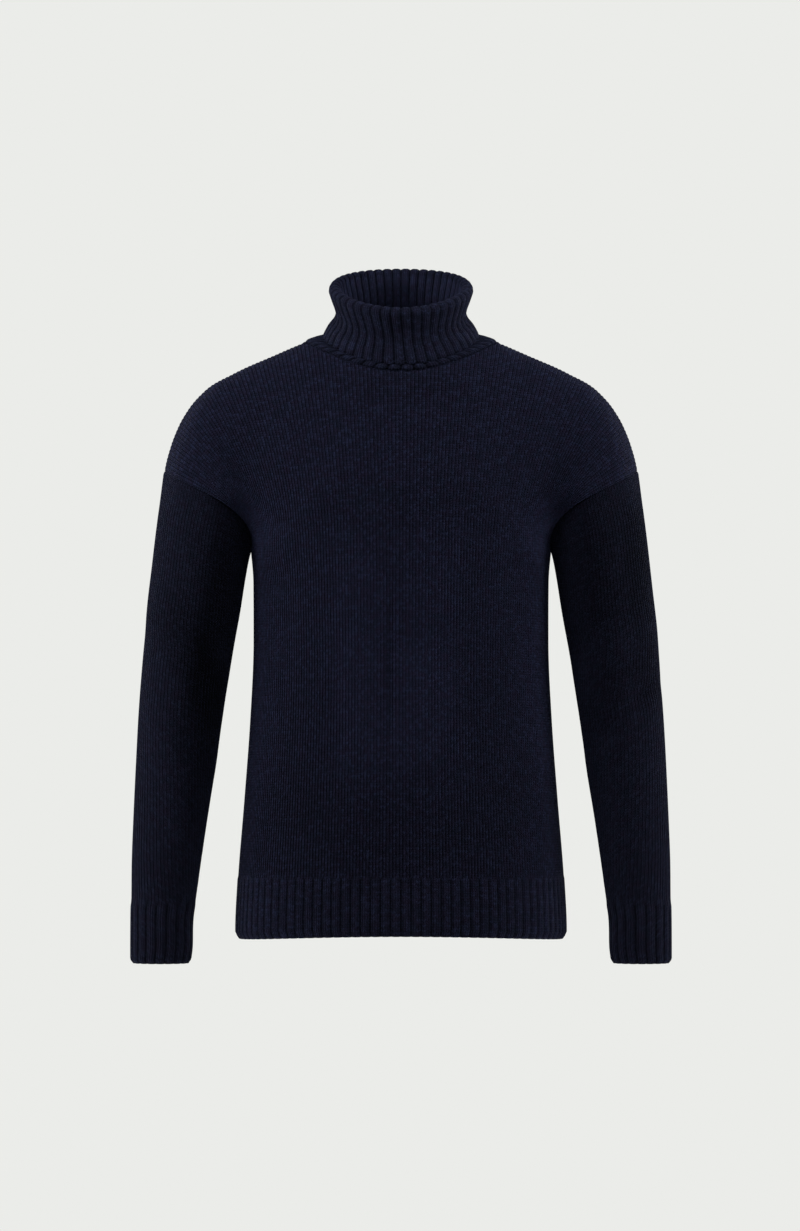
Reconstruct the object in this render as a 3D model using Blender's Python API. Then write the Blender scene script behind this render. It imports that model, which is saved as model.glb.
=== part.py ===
"""Turtleneck sweater, filled out as it is worn: five knitted pieces linked edge to edge.

Front, back, two drop-shoulder sleeves and a folded rib collar are each one closed wall of cloth.
The front faces -Y and +X is the sweater's left as it is seen from the front. The origin lies
between the two points where the shoulders meet the collar, because the shoulders carry the sweater.

A panel is worked out as it is knitted. Its columns are the wales, which run from the hem up to the
neck and the shoulder, and its outermost wale is the side seam and then the edge of the armhole.
All sizes are in millimetres, and MM turns them to metres where a mesh is made.
"""

import math
from collections import namedtuple

import bmesh
import bpy
import numpy as np

MM = 0.001

# Cloth
WALL = 3.0  # plain knit, one layer
RIB_WALL = 3.2  # collar rib, one layer, without its raised ribs
SEAM_GAP = 0.3  # clear space between two linked pieces
RIB_RELIEF = 1.8  # how far a rib of the hem or a cuff stands out
COLLAR_RELIEF = 1.7
RIB_PROFILE = ((0.0, 0.0), (0.27, 1.0), (0.73, 1.0))  # (share of a rib's width, share of its height)

# How many ribs go round
HEM_RIBS = 48  # on each panel
CUFF_RIBS = 18
COLLAR_RIBS = 44

# Levels
HEM_Z = -649.0
HEM_CURL_Z = -641.0  # below it the edge turns in
RIB_TOP_Z = -579.0
RIB_FADE = 9.0  # height over which the ribs sink into the plain knit
UNDERARM_Z = -220.0
HEM_LIFT = 4.0  # the middle of the front hem hangs this much higher than its sides
HEM_LIFT_REACH = 120.0

# Points of the armhole, in the plane of the garment's side outline (y = 0)
UNDERARM = np.array([164.5, 0.0, UNDERARM_Z])
ARMHOLE_TOP = np.array([260.1, 0.0, -135.4])

# How strongly the armhole's edge sets out from the underarm, and reaches its top: along the line
# between the two, towards the neck, and forwards or backwards
Run = namedtuple("Run", "along to_neck depth")
UNDERARM_RUN = Run(60.0, 125.0, 176.0)
TOP_RUN = Run(60.0, -5.0, 262.0)
SAME_WAY = 0.6  # above this cosine the two walls at a seam share one direction of thickness

# Torso: horizontal sections of the cloth's outer face, flattened ovals cut in two at the side seams
TORSO_FULLNESS = 2.35  # 2 is an ellipse, more is squarer
CENTRE_SPREAD = 0.12  # wales lie this much wider apart in the middle than on average
TorsoSection = namedtuple("TorsoSection", "z half_width front back")
TORSO = (
    TorsoSection(HEM_Z, 177.5, 108.0, 111.0),
    TorsoSection(HEM_CURL_Z, 181.0, 112.0, 115.0),
    TorsoSection(-585.0, 178.5, 112.0, 114.0),
    TorsoSection(-497.0, 171.5, 111.0, 108.0),
    TorsoSection(-409.0, 165.0, 111.0, 102.0),
    TorsoSection(-321.0, 161.3, 114.0, 100.0),
    TorsoSection(-260.0, 161.3, 118.0, 103.0),
    TorsoSection(UNDERARM_Z, 164.5, 120.0, 107.0),
)

# Shoulder: the ridge where front and back are joined, carried on inwards over the neck opening
RidgePoint = namedtuple("RidgePoint", "x z")
RIDGE = (
    RidgePoint(0.0, 26.0),
    RidgePoint(50.0, 21.0),
    RidgePoint(106.0, 5.6),
    RidgePoint(140.0, -8.8),
    RidgePoint(184.0, -28.6),
    RidgePoint(216.7, -48.4),
    RidgePoint(234.0, -68.2),
    RidgePoint(245.3, -88.0),
    RidgePoint(253.0, -107.8),
    RidgePoint(258.5, -127.6),
    RidgePoint(260.1, -135.4),
)
NECK_HALF_WIDTH = 106.0
EDGE_FROM = 0.6  # from this wale outwards the wales turn towards the armhole's own direction
SHOULDER_ROUND = 215.0  # how strongly a wale bends over the ridge
CHEST_RISE = 205.0  # how strongly a wale sets out upwards from the chest

# Neck opening, cut out of a panel that would otherwise run on up to the ridge. stop is the share of
# the middle wale that is left, lift raises the ridge over the middle of the opening, and pull takes
# the place of SHOULDER_ROUND there.
NeckCut = namedtuple("NeckCut", "stop lift pull")
NECK_CUTS = {-1: NeckCut(0.67, -6.0, 285.0), 1: NeckCut(0.79, 12.0, 345.0)}

# Collar: rings of the middle line between its two layers, from the neck seam up to the fold.
# gap is the space between the layers, or between the band and the layer that hangs over it.
# Row 0 is the neck seam itself, and the table begins at row 1.
CollarRing = namedtuple("CollarRing", "half_width front back z_side z_front z_back gap")
COLLAR = (
    CollarRing(82.8, 72.5, 56.0, 12.5, -18.5, 22.0, 1.4),
    CollarRing(76.9, 71.0, 53.5, 20.7, -9.5, 30.0, 1.4),
    CollarRing(69.9, 69.5, 50.5, 28.6, -0.5, 40.0, 1.5),
    CollarRing(66.5, 69.5, 48.5, 37.0, 9.0, 51.0, 1.7),
    CollarRing(67.2, 71.5, 48.0, 45.0, 18.0, 62.0, 2.2),
    CollarRing(69.6, 75.0, 48.0, 53.0, 27.5, 73.0, 3.4),
    CollarRing(71.3, 79.0, 50.0, 61.0, 37.0, 83.0, 4.6),
)
FREE_EDGE = 1  # row where the layer that is folded down ends
FOLD = len(COLLAR)
BAND_BULGE = 3.0  # how far the band between the seam and the free edge swells outwards

# Sleeve: rings between the arm's outer and inner outline. lean is how far a ring lies forward.
SleeveRing = namedtuple("SleeveRing", "x_out z_out x_in z_in depth lean")
SLEEVE = (
    SleeveRing(264.8, -172.0, 166.0, -233.0, 57.0, 0.0),
    SleeveRing(269.3, -206.0, 171.5, -256.0, 56.0, 1.0),
    SleeveRing(273.8, -246.0, 177.5, -290.0, 54.5, 2.0),
    SleeveRing(278.8, -295.0, 184.0, -326.0, 52.0, 4.0),
    SleeveRing(283.3, -347.0, 190.8, -368.0, 49.0, 7.0),
    SleeveRing(287.3, -402.0, 198.0, -415.0, 46.0, 10.0),
    SleeveRing(290.3, -457.0, 204.5, -464.0, 42.5, 14.0),
    SleeveRing(292.8, -512.0, 212.8, -515.0, 39.0, 18.0),
    SleeveRing(294.6, -563.0, 220.0, -564.0, 35.5, 22.0),
    SleeveRing(295.0, -610.0, 226.5, -610.0, 31.0, 25.0),
    SleeveRing(295.2, -619.0, 228.0, -619.0, 29.5, 26.0),
    SleeveRing(295.4, -669.0, 231.0, -669.0, 27.5, 28.0),
    SleeveRing(292.8, -675.0, 233.4, -675.0, 25.5, 28.0),
)
SLEEVE_FULLNESS = 2.05
CUFF_FADE_RINGS = (9, 10)  # rows of SLEEVE between which the cuff's ribs rise
SLEEVE_BOW = 7.0  # how far the first ring still bows towards the neck, half as far for each next one

# Mesh
NECK_COLUMNS = 4  # of half a panel, and twice as many points along its half of the neck edge
SHOULDER_COLUMNS = 8
EDGE_CROWDING = 1.2  # above 1 the columns lie closer together near the side seam
TORSO_ROWS = (-540.0, -475.0, -409.0, -345.0, -282.0)
YOKE_ROWS = 9
SLEEVE_COLUMNS = 24
COLLAR_HIDDEN_COLUMNS = 8 * NECK_COLUMNS
STEP = 1e-4  # for slopes taken by difference

NAVY_KNIT = (0.0070, 0.0080, 0.0140, 1.0)
NAVY_SLEEVE = (0.0055, 0.0063, 0.0115, 1.0)
NAVY_RIB = (0.0068, 0.0074, 0.0128, 1.0)
WOOL_ROUGHNESS = 0.92


def table_curve(table, along, column, at):
    """A column of a table as a smooth curve over another column, read at one value."""
    xs = np.array([getattr(row, along) for row in table], float)
    ys = np.array([getattr(row, column) for row in table], float)
    return smooth_curve(xs, ys, at)


def smooth_curve(xs, ys, at):
    """The cubic through the given points whose slopes are taken from their neighbours."""
    slopes = np.gradient(ys, xs)
    i = int(np.clip(np.searchsorted(xs, at) - 1, 0, len(xs) - 2))
    width = xs[i + 1] - xs[i]
    t = (at - xs[i]) / width
    return hermite(ys[i], slopes[i] * width, ys[i + 1], slopes[i + 1] * width, t)


def hermite(start, start_pull, end, end_pull, t):
    t2, t3 = t * t, t * t * t
    return (
        (2 * t3 - 3 * t2 + 1) * start
        + (t3 - 2 * t2 + t) * start_pull
        + (3 * t2 - 2 * t3) * end
        + (t3 - t2) * end_pull
    )


def smooth_step(low, high, at):
    t = min(max((at - low) / (high - low), 0.0), 1.0)
    return t * t * (3 - 2 * t)


def unit(vector):
    return np.asarray(vector, float) / np.linalg.norm(vector)


def along_line(points, share):
    """The point that lies at a share of a polyline's length."""
    steps = np.linalg.norm(np.diff(points, axis=0), axis=1)
    run = np.concatenate([[0.0], np.cumsum(steps)])
    at = share * run[-1]
    return np.array([np.interp(at, run, points[:, k]) for k in range(points.shape[1])])


def oval_quarter(half_width, depth, fullness, samples=81):
    """A quarter of an oval, from the middle of its flat side out to its end."""
    angle = np.linspace(0, math.pi / 2, samples)
    across = half_width * np.sin(angle) ** (2 / fullness)
    out = depth * np.maximum(np.cos(angle), 0.0) ** (2 / fullness)
    return np.stack([across, out], axis=1)


def rib_height(phase):
    """Height of a rib, from 0 to 1, at a share of its width."""
    shares = [share for share, _ in RIB_PROFILE] + [1.0]
    heights = [height for _, height in RIB_PROFILE] + [RIB_PROFILE[0][1]]
    return float(np.interp(phase % 1.0, shares, heights))


def rib_places(count):
    """Places of the ribs' corners, from 0 to 1, with both ends in a valley."""
    return [(i + share) / count for i in range(count) for share, _ in RIB_PROFILE] + [1.0]


# ---------------------------------------------------------------- seam lines


def ridge_line():
    xs = np.linspace(0.0, RIDGE[-1].x, 181)
    return np.array([[x, 0.0, table_curve(RIDGE, "x", "z", x)] for x in xs])


RIDGE_LINE = ridge_line()
RIDGE_RUN = np.concatenate([[0.0], np.cumsum(np.linalg.norm(np.diff(RIDGE_LINE, axis=0), axis=1))])
NECK_SHARE = float(np.interp(NECK_HALF_WIDTH, RIDGE_LINE[:, 0], RIDGE_RUN)) / RIDGE_RUN[-1]


def ridge_normal(u):
    run = along_line(RIDGE_LINE, min(u + 0.01, 1.0)) - along_line(RIDGE_LINE, max(u - 0.01, 0.0))
    return unit([-run[2], 0.0, run[0]])


ARMHOLE_CHORD = unit(ARMHOLE_TOP - UNDERARM)
TO_NECK = np.array([-ARMHOLE_CHORD[2], 0.0, ARMHOLE_CHORD[0]])


def armhole_pulls(side):
    """The directions in which the armhole's edge leaves the underarm and reaches its top."""
    out = np.array([0.0, side, 0.0])
    start = ARMHOLE_CHORD * UNDERARM_RUN.along + TO_NECK * UNDERARM_RUN.to_neck + out * UNDERARM_RUN.depth
    end = ARMHOLE_CHORD * TOP_RUN.along - TO_NECK * TOP_RUN.to_neck - out * TOP_RUN.depth
    return start, end


def armhole_point(share, side):
    start, end = armhole_pulls(side)
    return hermite(UNDERARM, start, ARMHOLE_TOP, end, share)


def agreed(own, other):
    """The direction of thickness at a seam: the mean of both walls', or the wall's own in a sharp crease."""
    together = smooth_step(0.0, SAME_WAY, float(np.dot(own, other)))
    return unit(own + together * other)


def neck_place(angle):
    """(u, share of the wale, side) of a point of the neck edge. Angle 0 is the middle of the front."""
    side = -1 if math.cos(angle) >= 0 else 1
    return NECK_SHARE * math.sin(angle), 1 - (1 - NECK_CUTS[side].stop) * abs(math.cos(angle)), side


def neck_seam(angle):
    """The line where the collar is linked to the body."""
    return yoke_point(*neck_place(angle))


def neck_normal(angle):
    return yoke_normal(*neck_place(angle))


def away_from_neck(angle):
    """The direction in the cloth that leads straight away from the neck seam."""
    along = neck_seam(angle + STEP) - neck_seam(angle - STEP)
    return unit(np.cross(along, neck_normal(angle)))


def collar_line(row, angle):
    """The middle line of the collar's two layers, at a height given as a row of COLLAR."""
    if row < FREE_EDGE:
        seam, edge = neck_seam(angle), collar_line(FREE_EDGE, angle)
        swell = unit(np.cross(edge - seam, np.cross(neck_normal(angle), edge - seam)))
        return seam + row * (edge - seam) + 6.75 * row * (1 - row) ** 2 * BAND_BULGE * swell
    rows = np.arange(FREE_EDGE, FOLD + 1, dtype=float)
    half_width, front, back, z_side, z_front, z_back = (
        smooth_curve(rows, np.array([getattr(ring, name) for ring in COLLAR]), row)
        for name in ("half_width", "front", "back", "z_side", "z_front", "z_back")
    )
    c = math.cos(angle)
    depth = front if c > 0 else back
    tilt = (z_front - z_back) / 2
    dip = (z_front + z_back) / 2 - z_side
    return np.array([half_width * math.sin(angle), -depth * c, z_side + tilt * c + dip * c * c])


# ---------------------------------------------------------------- panels


def torso_point(u, z, side):
    """The cloth's outer face below the underarm. u is -1 and 1 at the side seams."""
    half_width = table_curve(TORSO, "z", "half_width", z)
    depth = table_curve(TORSO, "z", "front" if side < 0 else "back", z)
    share = abs(u) * (1 + CENTRE_SPREAD) - CENTRE_SPREAD * u * u
    across, out = along_line(oval_quarter(half_width, depth, TORSO_FULLNESS), share)
    lift = 0.0
    if side < 0:
        near_hem = 1 - smooth_step(0.0, HEM_LIFT_REACH, z - HEM_Z)
        lift = HEM_LIFT * near_hem * (1 - (across / half_width) ** 2)
    return np.array([math.copysign(across, u), side * out, z + lift])


def mirrored(vector, u):
    return np.asarray(vector, float) * [math.copysign(1.0, u), 1.0, 1.0]


def yoke_point(u, t, side):
    """The cloth's outer face above the underarm, t from 0 there to 1 at the ridge."""
    cut = NECK_CUTS[side]
    start_pull, end_pull = armhole_pulls(side)
    to_edge = smooth_step(EDGE_FROM, 1.0, abs(u))
    over_neck = max(1 - (u / NECK_SHARE) ** 2, 0.0) ** 2
    near_neck = 1 - smooth_step(0.0, NECK_SHARE * 1.5, abs(u))
    rise = (1 - to_edge) * np.array([0.0, 0.0, CHEST_RISE]) + to_edge * mirrored(start_pull, u)
    over = np.array([0.0, -side * (SHOULDER_ROUND + (cut.pull - SHOULDER_ROUND) * near_neck), 0.0])
    over = (1 - to_edge) * over + to_edge * mirrored(end_pull, u)
    top = mirrored(along_line(RIDGE_LINE, abs(u)), u) + [0.0, 0.0, cut.lift * over_neck]
    return hermite(torso_point(u, UNDERARM_Z, side), rise, top, over, t)


def yoke_normal(u, t, side):
    du = yoke_point(min(u + STEP, 1.0), t, side) - yoke_point(max(u - STEP, -1.0), t, side)
    dt = yoke_point(u, min(t + STEP, 1.0), side) - yoke_point(u, max(t - STEP, 0.0), side)
    return unit(np.cross(du, dt)) * -side


def torso_normal(u, z, side):
    du = torso_point(min(u + STEP, 1.0), z, side) - torso_point(max(u - STEP, -1.0), z, side)
    dz = torso_point(u, min(z + 1.0, UNDERARM_Z), side) - torso_point(u, max(z - 1.0, HEM_Z), side)
    return unit(np.cross(du, dz)) * -side


def panel_armhole_normal(share, side):
    """The panel's own direction of thickness along the armhole at +X, a little inside its edge."""
    if share == 0:
        return np.array([1.0, 0.0, 0.0])
    return yoke_normal(1 - 20 * STEP, min(max(share, 0.02), 0.98), side)


def panel_wall(u, height, side, relief=0.0):
    """(outer point, inner point) of a panel's wall. height is z, or above the underarm a wale's share."""
    at_side = abs(u) >= 1 - STEP
    if height < 0:
        point, normal = torso_point(u, height, side), torso_normal(u, height, side)
        if at_side:
            point = point + [0.0, side * SEAM_GAP / 2, 0.0]
            normal = mirrored([1.0, 0.0, 0.0], u)
        return point + relief * normal, point - WALL * normal
    point, normal = yoke_point(u, height, side), yoke_normal(u, height, side)
    if at_side:
        own, other = panel_armhole_normal(height, side), sleeve_armhole_normal(height, side)
        normal = mirrored(ridge_normal(1.0) if height == 1 else agreed(own, other), u)
        point = point + mirrored(TO_NECK, u) * SEAM_GAP / 2
        if height == 0:
            point = point + [0.0, side * SEAM_GAP / 2, 0.0]
    if height == 1:
        point = point + [0.0, side * SEAM_GAP / 2, 0.0]
        normal = mirrored(ridge_normal(abs(u)), u)
    return point, point - WALL * normal


def neck_wall(angle, side):
    """(outer point, inner point) of a panel's wall at the neck edge."""
    point = neck_seam(angle) + away_from_neck(angle) * SEAM_GAP / 2
    if abs(math.cos(angle)) < STEP:
        point = point + [0.0, side * SEAM_GAP / 2, 0.0]
    return point, point - WALL * neck_normal(angle)


def panel_columns():
    """Places of a panel's wales that the plain cloth is drawn through, from -1 to 1."""
    neck = [NECK_SHARE * math.sin(math.pi / 2 * k / NECK_COLUMNS) for k in range(NECK_COLUMNS)]
    left = [(1 - k / SHOULDER_COLUMNS) ** EDGE_CROWDING for k in range(SHOULDER_COLUMNS + 1)]
    half = neck + [1 - (1 - NECK_SHARE) * share for share in left]
    return [-u for u in reversed(half[1:])] + half


def panel_rows(side):
    """Rows of the wall from the hem up: (outer points, their places, inner points, their places)."""
    coarse = panel_columns()
    ribs = [place * 2 - 1 for place in rib_places(HEM_RIBS)]
    rows = []

    def add(height, outer_places, relief):
        raised = [relief * rib_height((u + 1) / 2 * HEM_RIBS) for u in outer_places]
        outer = [panel_wall(u, height, side, out)[0] for u, out in zip(outer_places, raised)]
        inner = [panel_wall(u, height, side)[1] for u in coarse]
        rows.append((outer, outer_places, inner, coarse))

    add(HEM_Z, ribs, RIB_RELIEF * 0.5)
    add(HEM_CURL_Z, ribs, RIB_RELIEF)
    add(RIB_TOP_Z - RIB_FADE, ribs, RIB_RELIEF)
    add(RIB_TOP_Z, ribs, 0.0)
    for z in TORSO_ROWS:
        add(z, coarse, 0.0)
    for j in range(YOKE_ROWS):
        walls = [panel_wall(u, j / YOKE_ROWS * wale_stop(u, side), side) for u in coarse]
        rows.append(([w[0] for w in walls], coarse, [w[1] for w in walls], coarse))
    walls, places = [], []
    for u in coarse:
        if abs(u) > NECK_SHARE + STEP:
            places.append(u)
            walls.append(panel_wall(u, 1, side))
    for k in range(-2 * NECK_COLUMNS, 2 * NECK_COLUMNS + 1):
        angle = math.pi / 2 * k / (2 * NECK_COLUMNS)
        places.append(NECK_SHARE * math.sin(angle))
        walls.append(neck_wall(angle if side < 0 else math.pi - angle, side))
    order = sorted(range(len(places)), key=lambda i: places[i])
    places = [places[i] for i in order]
    rows.append(([walls[i][0] for i in order], places, [walls[i][1] for i in order], places))
    return rows


def wale_stop(u, side):
    """The share of a wale that is left where the neck is cut out."""
    if abs(u) >= NECK_SHARE:
        return 1.0
    return 1 - (1 - NECK_CUTS[side].stop) * math.sqrt(1 - (u / NECK_SHARE) ** 2)


# ---------------------------------------------------------------- sleeves


def sleeve_ring_point(ring, turn, fullness=SLEEVE_FULLNESS):
    """A ring's outer face. turn is 0 on the arm's outside, 0.25 in front and 0.5 on its inside."""
    angle = 2 * math.pi * turn
    power = 2 / fullness
    across = math.copysign(abs(math.cos(angle)) ** power, math.cos(angle))
    forward = math.copysign(abs(math.sin(angle)) ** power, math.sin(angle))
    x = (ring.x_out + ring.x_in) / 2 + across * (ring.x_out - ring.x_in) / 2
    z = (ring.z_out + ring.z_in) / 2 + across * (ring.z_out - ring.z_in) / 2
    return np.array([x, -ring.lean - forward * ring.depth, z])


def armhole_turn(turn):
    """(share along the armhole's edge, side) at a turn round the sleeve."""
    return (1 - 2 * turn, -1) if turn <= 0.5 else (2 * turn - 1, 1)


def sleeve_surface(index, turn):
    """The sleeve's outer face at a row of SLEEVE, where row -1 is the armhole."""
    if index < 0:
        return armhole_point(*armhole_turn(turn))
    point = sleeve_ring_point(SLEEVE[index], turn)
    bow = SLEEVE_BOW * 0.5**index * math.sin(2 * math.pi * turn) ** 2
    return point + TO_NECK * bow


def sleeve_armhole_normal(share, side):
    """The sleeve's own direction of thickness along the armhole."""
    turn = (1 - share) / 2 if side < 0 else (1 + share) / 2
    return sleeve_normal(-1, turn)


def sleeve_normal(index, turn):
    if index < 0:
        turn_low, turn_high = max(turn - STEP * 10, 0.0), min(turn + STEP * 10, 1.0)
    else:
        turn_low, turn_high = turn - STEP * 10, turn + STEP * 10
    around = sleeve_surface(index, turn_high) - sleeve_surface(index, turn_low)
    low, high = min(index + 1, len(SLEEVE) - 1), max(index - 1, -1)
    down = sleeve_surface(low, turn) - sleeve_surface(high, turn)
    return unit(np.cross(around, down))


def sleeve_wall(index, turn, relief=0.0):
    """(outer point, inner point) of the sleeve's wall."""
    point, normal = sleeve_surface(index, turn), sleeve_normal(index, turn)
    if index < 0:
        share, side = armhole_turn(turn)
        normal = ridge_normal(1.0) if share == 1 else agreed(normal, panel_armhole_normal(share, side))
        point = point - TO_NECK * SEAM_GAP / 2
    return point + relief * normal, point - WALL * normal


def sleeve_rows(mirror):
    """Rings of the wall from the armhole down, for the sleeve at +X or its mirror image."""
    shares = [j / YOKE_ROWS for j in range(YOKE_ROWS + 1)]
    armhole = [(1 - share) / 2 for share in reversed(shares)] + [(1 + share) / 2 for share in shares[1:]]
    coarse = [i / SLEEVE_COLUMNS for i in range(SLEEVE_COLUMNS + 1)]
    ribs = rib_places(CUFF_RIBS)
    flip = np.array([mirror, 1.0, 1.0])
    rows = []

    def add(index, places, relief):
        outer = [sleeve_wall(index, t, relief * rib_height(t * CUFF_RIBS))[0] * flip for t in places[:-1]]
        inner_places = places if index < CUFF_FADE_RINGS[0] else coarse
        inner = [sleeve_wall(index, t)[1] * flip for t in inner_places[:-1]]
        rows.append((outer, places, inner, inner_places))

    add(-1, armhole, 0.0)
    for index in range(len(SLEEVE)):
        ribbed = index > CUFF_FADE_RINGS[0]
        last = index == len(SLEEVE) - 1
        add(index, ribs if ribbed else coarse, (RIB_RELIEF * 0.5 if last else RIB_RELIEF) if ribbed else 0.0)
    return rows


# ---------------------------------------------------------------- collar


def collar_frame(row, angle):
    """(middle point, outward direction, upward direction, gap between the layers)."""
    low, high = max(row - 0.02, 0.0), min(row + 0.02, float(FOLD))
    up = unit(collar_line(high, angle) - collar_line(low, angle))
    around = collar_line(row, angle + STEP) - collar_line(row, angle - STEP)
    gap = float(np.interp(row, range(FOLD + 1), [0.0] + [ring.gap for ring in COLLAR]))
    return collar_line(row, angle), unit(np.cross(around, up)), up, gap


def collar_ring(row, places, layer, depth, relief=0.0):
    """A ring of the collar's wall.

    layer is 1 for the layer that is folded down and -1 for the one that stands against the neck.
    depth is 0 on the face between the layers and 1 on the face that shows.
    """
    ring = []
    for place in places[:-1]:
        angle = 2 * math.pi * place
        point, out, _, gap = collar_frame(row, angle)
        reach = gap / 2 + depth * (RIB_WALL + relief * rib_height(place * COLLAR_RIBS))
        ring.append(point + layer * reach * out)
    return ring


def band_ring(row, places, relief):
    """A ring of the outer face of the short band that shows below the folded layer."""
    ring = []
    for place in places[:-1]:
        point, out, _, gap = collar_frame(row, 2 * math.pi * place)
        ring.append(point + (relief * rib_height(place * COLLAR_RIBS) - gap / 2) * out)
    return ring


def fold_ring(places, turn, depth, relief=0.0):
    """A ring of the roll at the top. turn is 0 outside, 90 degrees on top and 180 inside."""
    ring = []
    for place in places[:-1]:
        point, out, up, gap = collar_frame(float(FOLD), 2 * math.pi * place)
        reach = gap / 2 + depth * (RIB_WALL + relief * rib_height(place * COLLAR_RIBS))
        ring.append(point + reach * (math.cos(turn) * out + math.sin(turn) * up))
    return ring


def neck_edge_ring(places, depth):
    """The collar's lower edge, which faces the neck edge of the panels."""
    ring = []
    for place in places[:-1]:
        angle = 2 * math.pi * place
        toward = -away_from_neck(angle)
        ring.append(neck_seam(angle) + toward * SEAM_GAP / 2 - depth * WALL * neck_normal(angle))
    return ring


def collar_rings():
    """The rings in order round the wall's section, which is a closed loop."""
    ribs = rib_places(COLLAR_RIBS)
    hidden = [i / COLLAR_HIDDEN_COLUMNS for i in range(COLLAR_HIDDEN_COLUMNS + 1)]
    top = float(FOLD)
    low = float(FREE_EDGE)
    rings = [(collar_ring(low, ribs, 1, 1, COLLAR_RELIEF * 0.5), ribs)]
    for row in (low + 0.4, 3.0, 4.5, 6.0, top):
        rings.append((collar_ring(row, ribs, 1, 1, COLLAR_RELIEF), ribs))
    for degrees in (45, 90, 135):
        rings.append((fold_ring(ribs, math.radians(degrees), 1, COLLAR_RELIEF), ribs))
    for row in (top, 5.2, 3.4, 1.8):
        rings.append((collar_ring(row, ribs, -1, 1, COLLAR_RELIEF), ribs))
    for row in (1.15, 0.5):
        rings.append((collar_ring(row, hidden, -1, 1), hidden))
    rings.append((neck_edge_ring(hidden, 1), hidden))
    rings.append((neck_edge_ring(hidden, 0), hidden))
    for row, share in ((0.2, 0.8), (0.62, 0.6)):
        rings.append((band_ring(row, ribs, COLLAR_RELIEF * share), ribs))
    for row in (low, 2.5, 4.0, 5.5, top):
        rings.append((collar_ring(row, hidden, -1, 0), hidden))
    rings.append((fold_ring(hidden, math.pi / 2, 0), hidden))
    for row in (top, 5.5, 4.0, 2.5, low):
        rings.append((collar_ring(row, hidden, 1, 0), hidden))
    return rings


# ---------------------------------------------------------------- meshes


def new_points(bm, points):
    return [bm.verts.new([value * MM for value in point]) for point in points]


def zip_rows(bm, row_a, places_a, row_b, places_b):
    """Fills the strip between two rows of points, which may hold different numbers of them."""
    i = j = 0
    while i < len(row_a) - 1 or j < len(row_b) - 1:
        next_a = places_a[i + 1] if i < len(row_a) - 1 else math.inf
        next_b = places_b[j + 1] if j < len(row_b) - 1 else math.inf
        if abs(next_a - next_b) < 1e-9:
            bm.faces.new((row_a[i], row_a[i + 1], row_b[j + 1], row_b[j]))
            i, j = i + 1, j + 1
        elif next_a < next_b:
            bm.faces.new((row_a[i], row_a[i + 1], row_b[j]))
            i += 1
        else:
            bm.faces.new((row_a[i], row_b[j + 1], row_b[j]))
            j += 1


def add_object(name, bm, material):
    bmesh.ops.recalc_face_normals(bm, faces=bm.faces)
    mesh = bpy.data.meshes.new(name)
    bm.to_mesh(mesh)
    bm.free()
    mesh.materials.append(material)
    mesh.shade_smooth()
    mesh.set_sharp_from_angle(angle=math.radians(40))
    obj = bpy.data.objects.new(name, mesh)
    bpy.context.scene.collection.objects.link(obj)
    return obj


def wall_from_rows(name, rows, closed, material):
    """A wall between an outer and an inner face, each given as rows of points.

    A closed wall is a tube, whose rows hold one point fewer than they have places.
    """
    bm = bmesh.new()
    made = []
    for outer, outer_places, inner, inner_places in rows:
        outer, inner = new_points(bm, outer), new_points(bm, inner)
        if closed:
            outer.append(outer[0])
            inner.append(inner[0])
        made.append((outer, outer_places, inner, inner_places))
    for low, high in zip(made, made[1:]):
        zip_rows(bm, low[0], low[1], high[0], high[1])
        zip_rows(bm, low[2], low[3], high[2], high[3])
        if not closed:
            for end in (0, -1):
                bm.faces.new((low[0][end], high[0][end], high[2][end], low[2][end]))
    for edge in (made[0], made[-1]):
        zip_rows(bm, edge[0], edge[1], edge[2], edge[3])
    return add_object(name, bm, material)


def wall_from_rings(name, rings, material):
    """A wall whose section is a closed loop: each ring is joined to the next, the last to the first."""
    bm = bmesh.new()
    made = []
    for points, places in rings:
        ring = new_points(bm, points)
        made.append((ring + [ring[0]], places))
    for (ring_a, places_a), (ring_b, places_b) in zip(made, made[1:] + made[:1]):
        zip_rows(bm, ring_a, places_a, ring_b, places_b)
    return add_object(name, bm, material)


def knit_material(name, colour):
    material = bpy.data.materials.new(name)
    material.use_nodes = True
    shader = material.node_tree.nodes["Principled BSDF"]
    shader.inputs["Base Color"].default_value = colour
    shader.inputs["Roughness"].default_value = WOOL_ROUGHNESS
    shader.inputs["Metallic"].default_value = 0.0
    material.diffuse_color = colour
    return material


def main():
    for obj in list(bpy.data.objects):
        bpy.data.objects.remove(obj)
    body_knit = knit_material("body_knit", NAVY_KNIT)
    sleeve_knit = knit_material("sleeve_knit", NAVY_SLEEVE)
    collar_rib = knit_material("collar_rib", NAVY_RIB)
    wall_from_rows("front_panel", panel_rows(-1), False, body_knit)
    wall_from_rows("back_panel", panel_rows(1), False, body_knit)
    wall_from_rows("sleeve_left", sleeve_rows(1), True, sleeve_knit)
    wall_from_rows("sleeve_right", sleeve_rows(-1), True, sleeve_knit)
    wall_from_rings("collar", collar_rings(), collar_rib)


if __name__ == "__main__":
    main()
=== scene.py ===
"""Turtleneck sweater, dressed: five knitted pieces, and the chain that links the collar to the body.

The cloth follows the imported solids. Its faces are worked out again here, much finer, so that each
wale of the plain knit and each rib has a shape of its own. The sizes are those of the solids, apart
from the top of the collar, the band under it, the sleeves' first rings and where the cuff's ribs
fade, which differ by up to 3 mm or a part of a ring.

The front faces -Y and +X is the wearer's left. The sweater's sizes are in millimetres, which MM turns
to metres, and the studio's are in metres.
"""

from __future__ import annotations

import logging
import math
from dataclasses import dataclass
from enum import Enum
from typing import Callable, NamedTuple, Sequence

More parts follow.
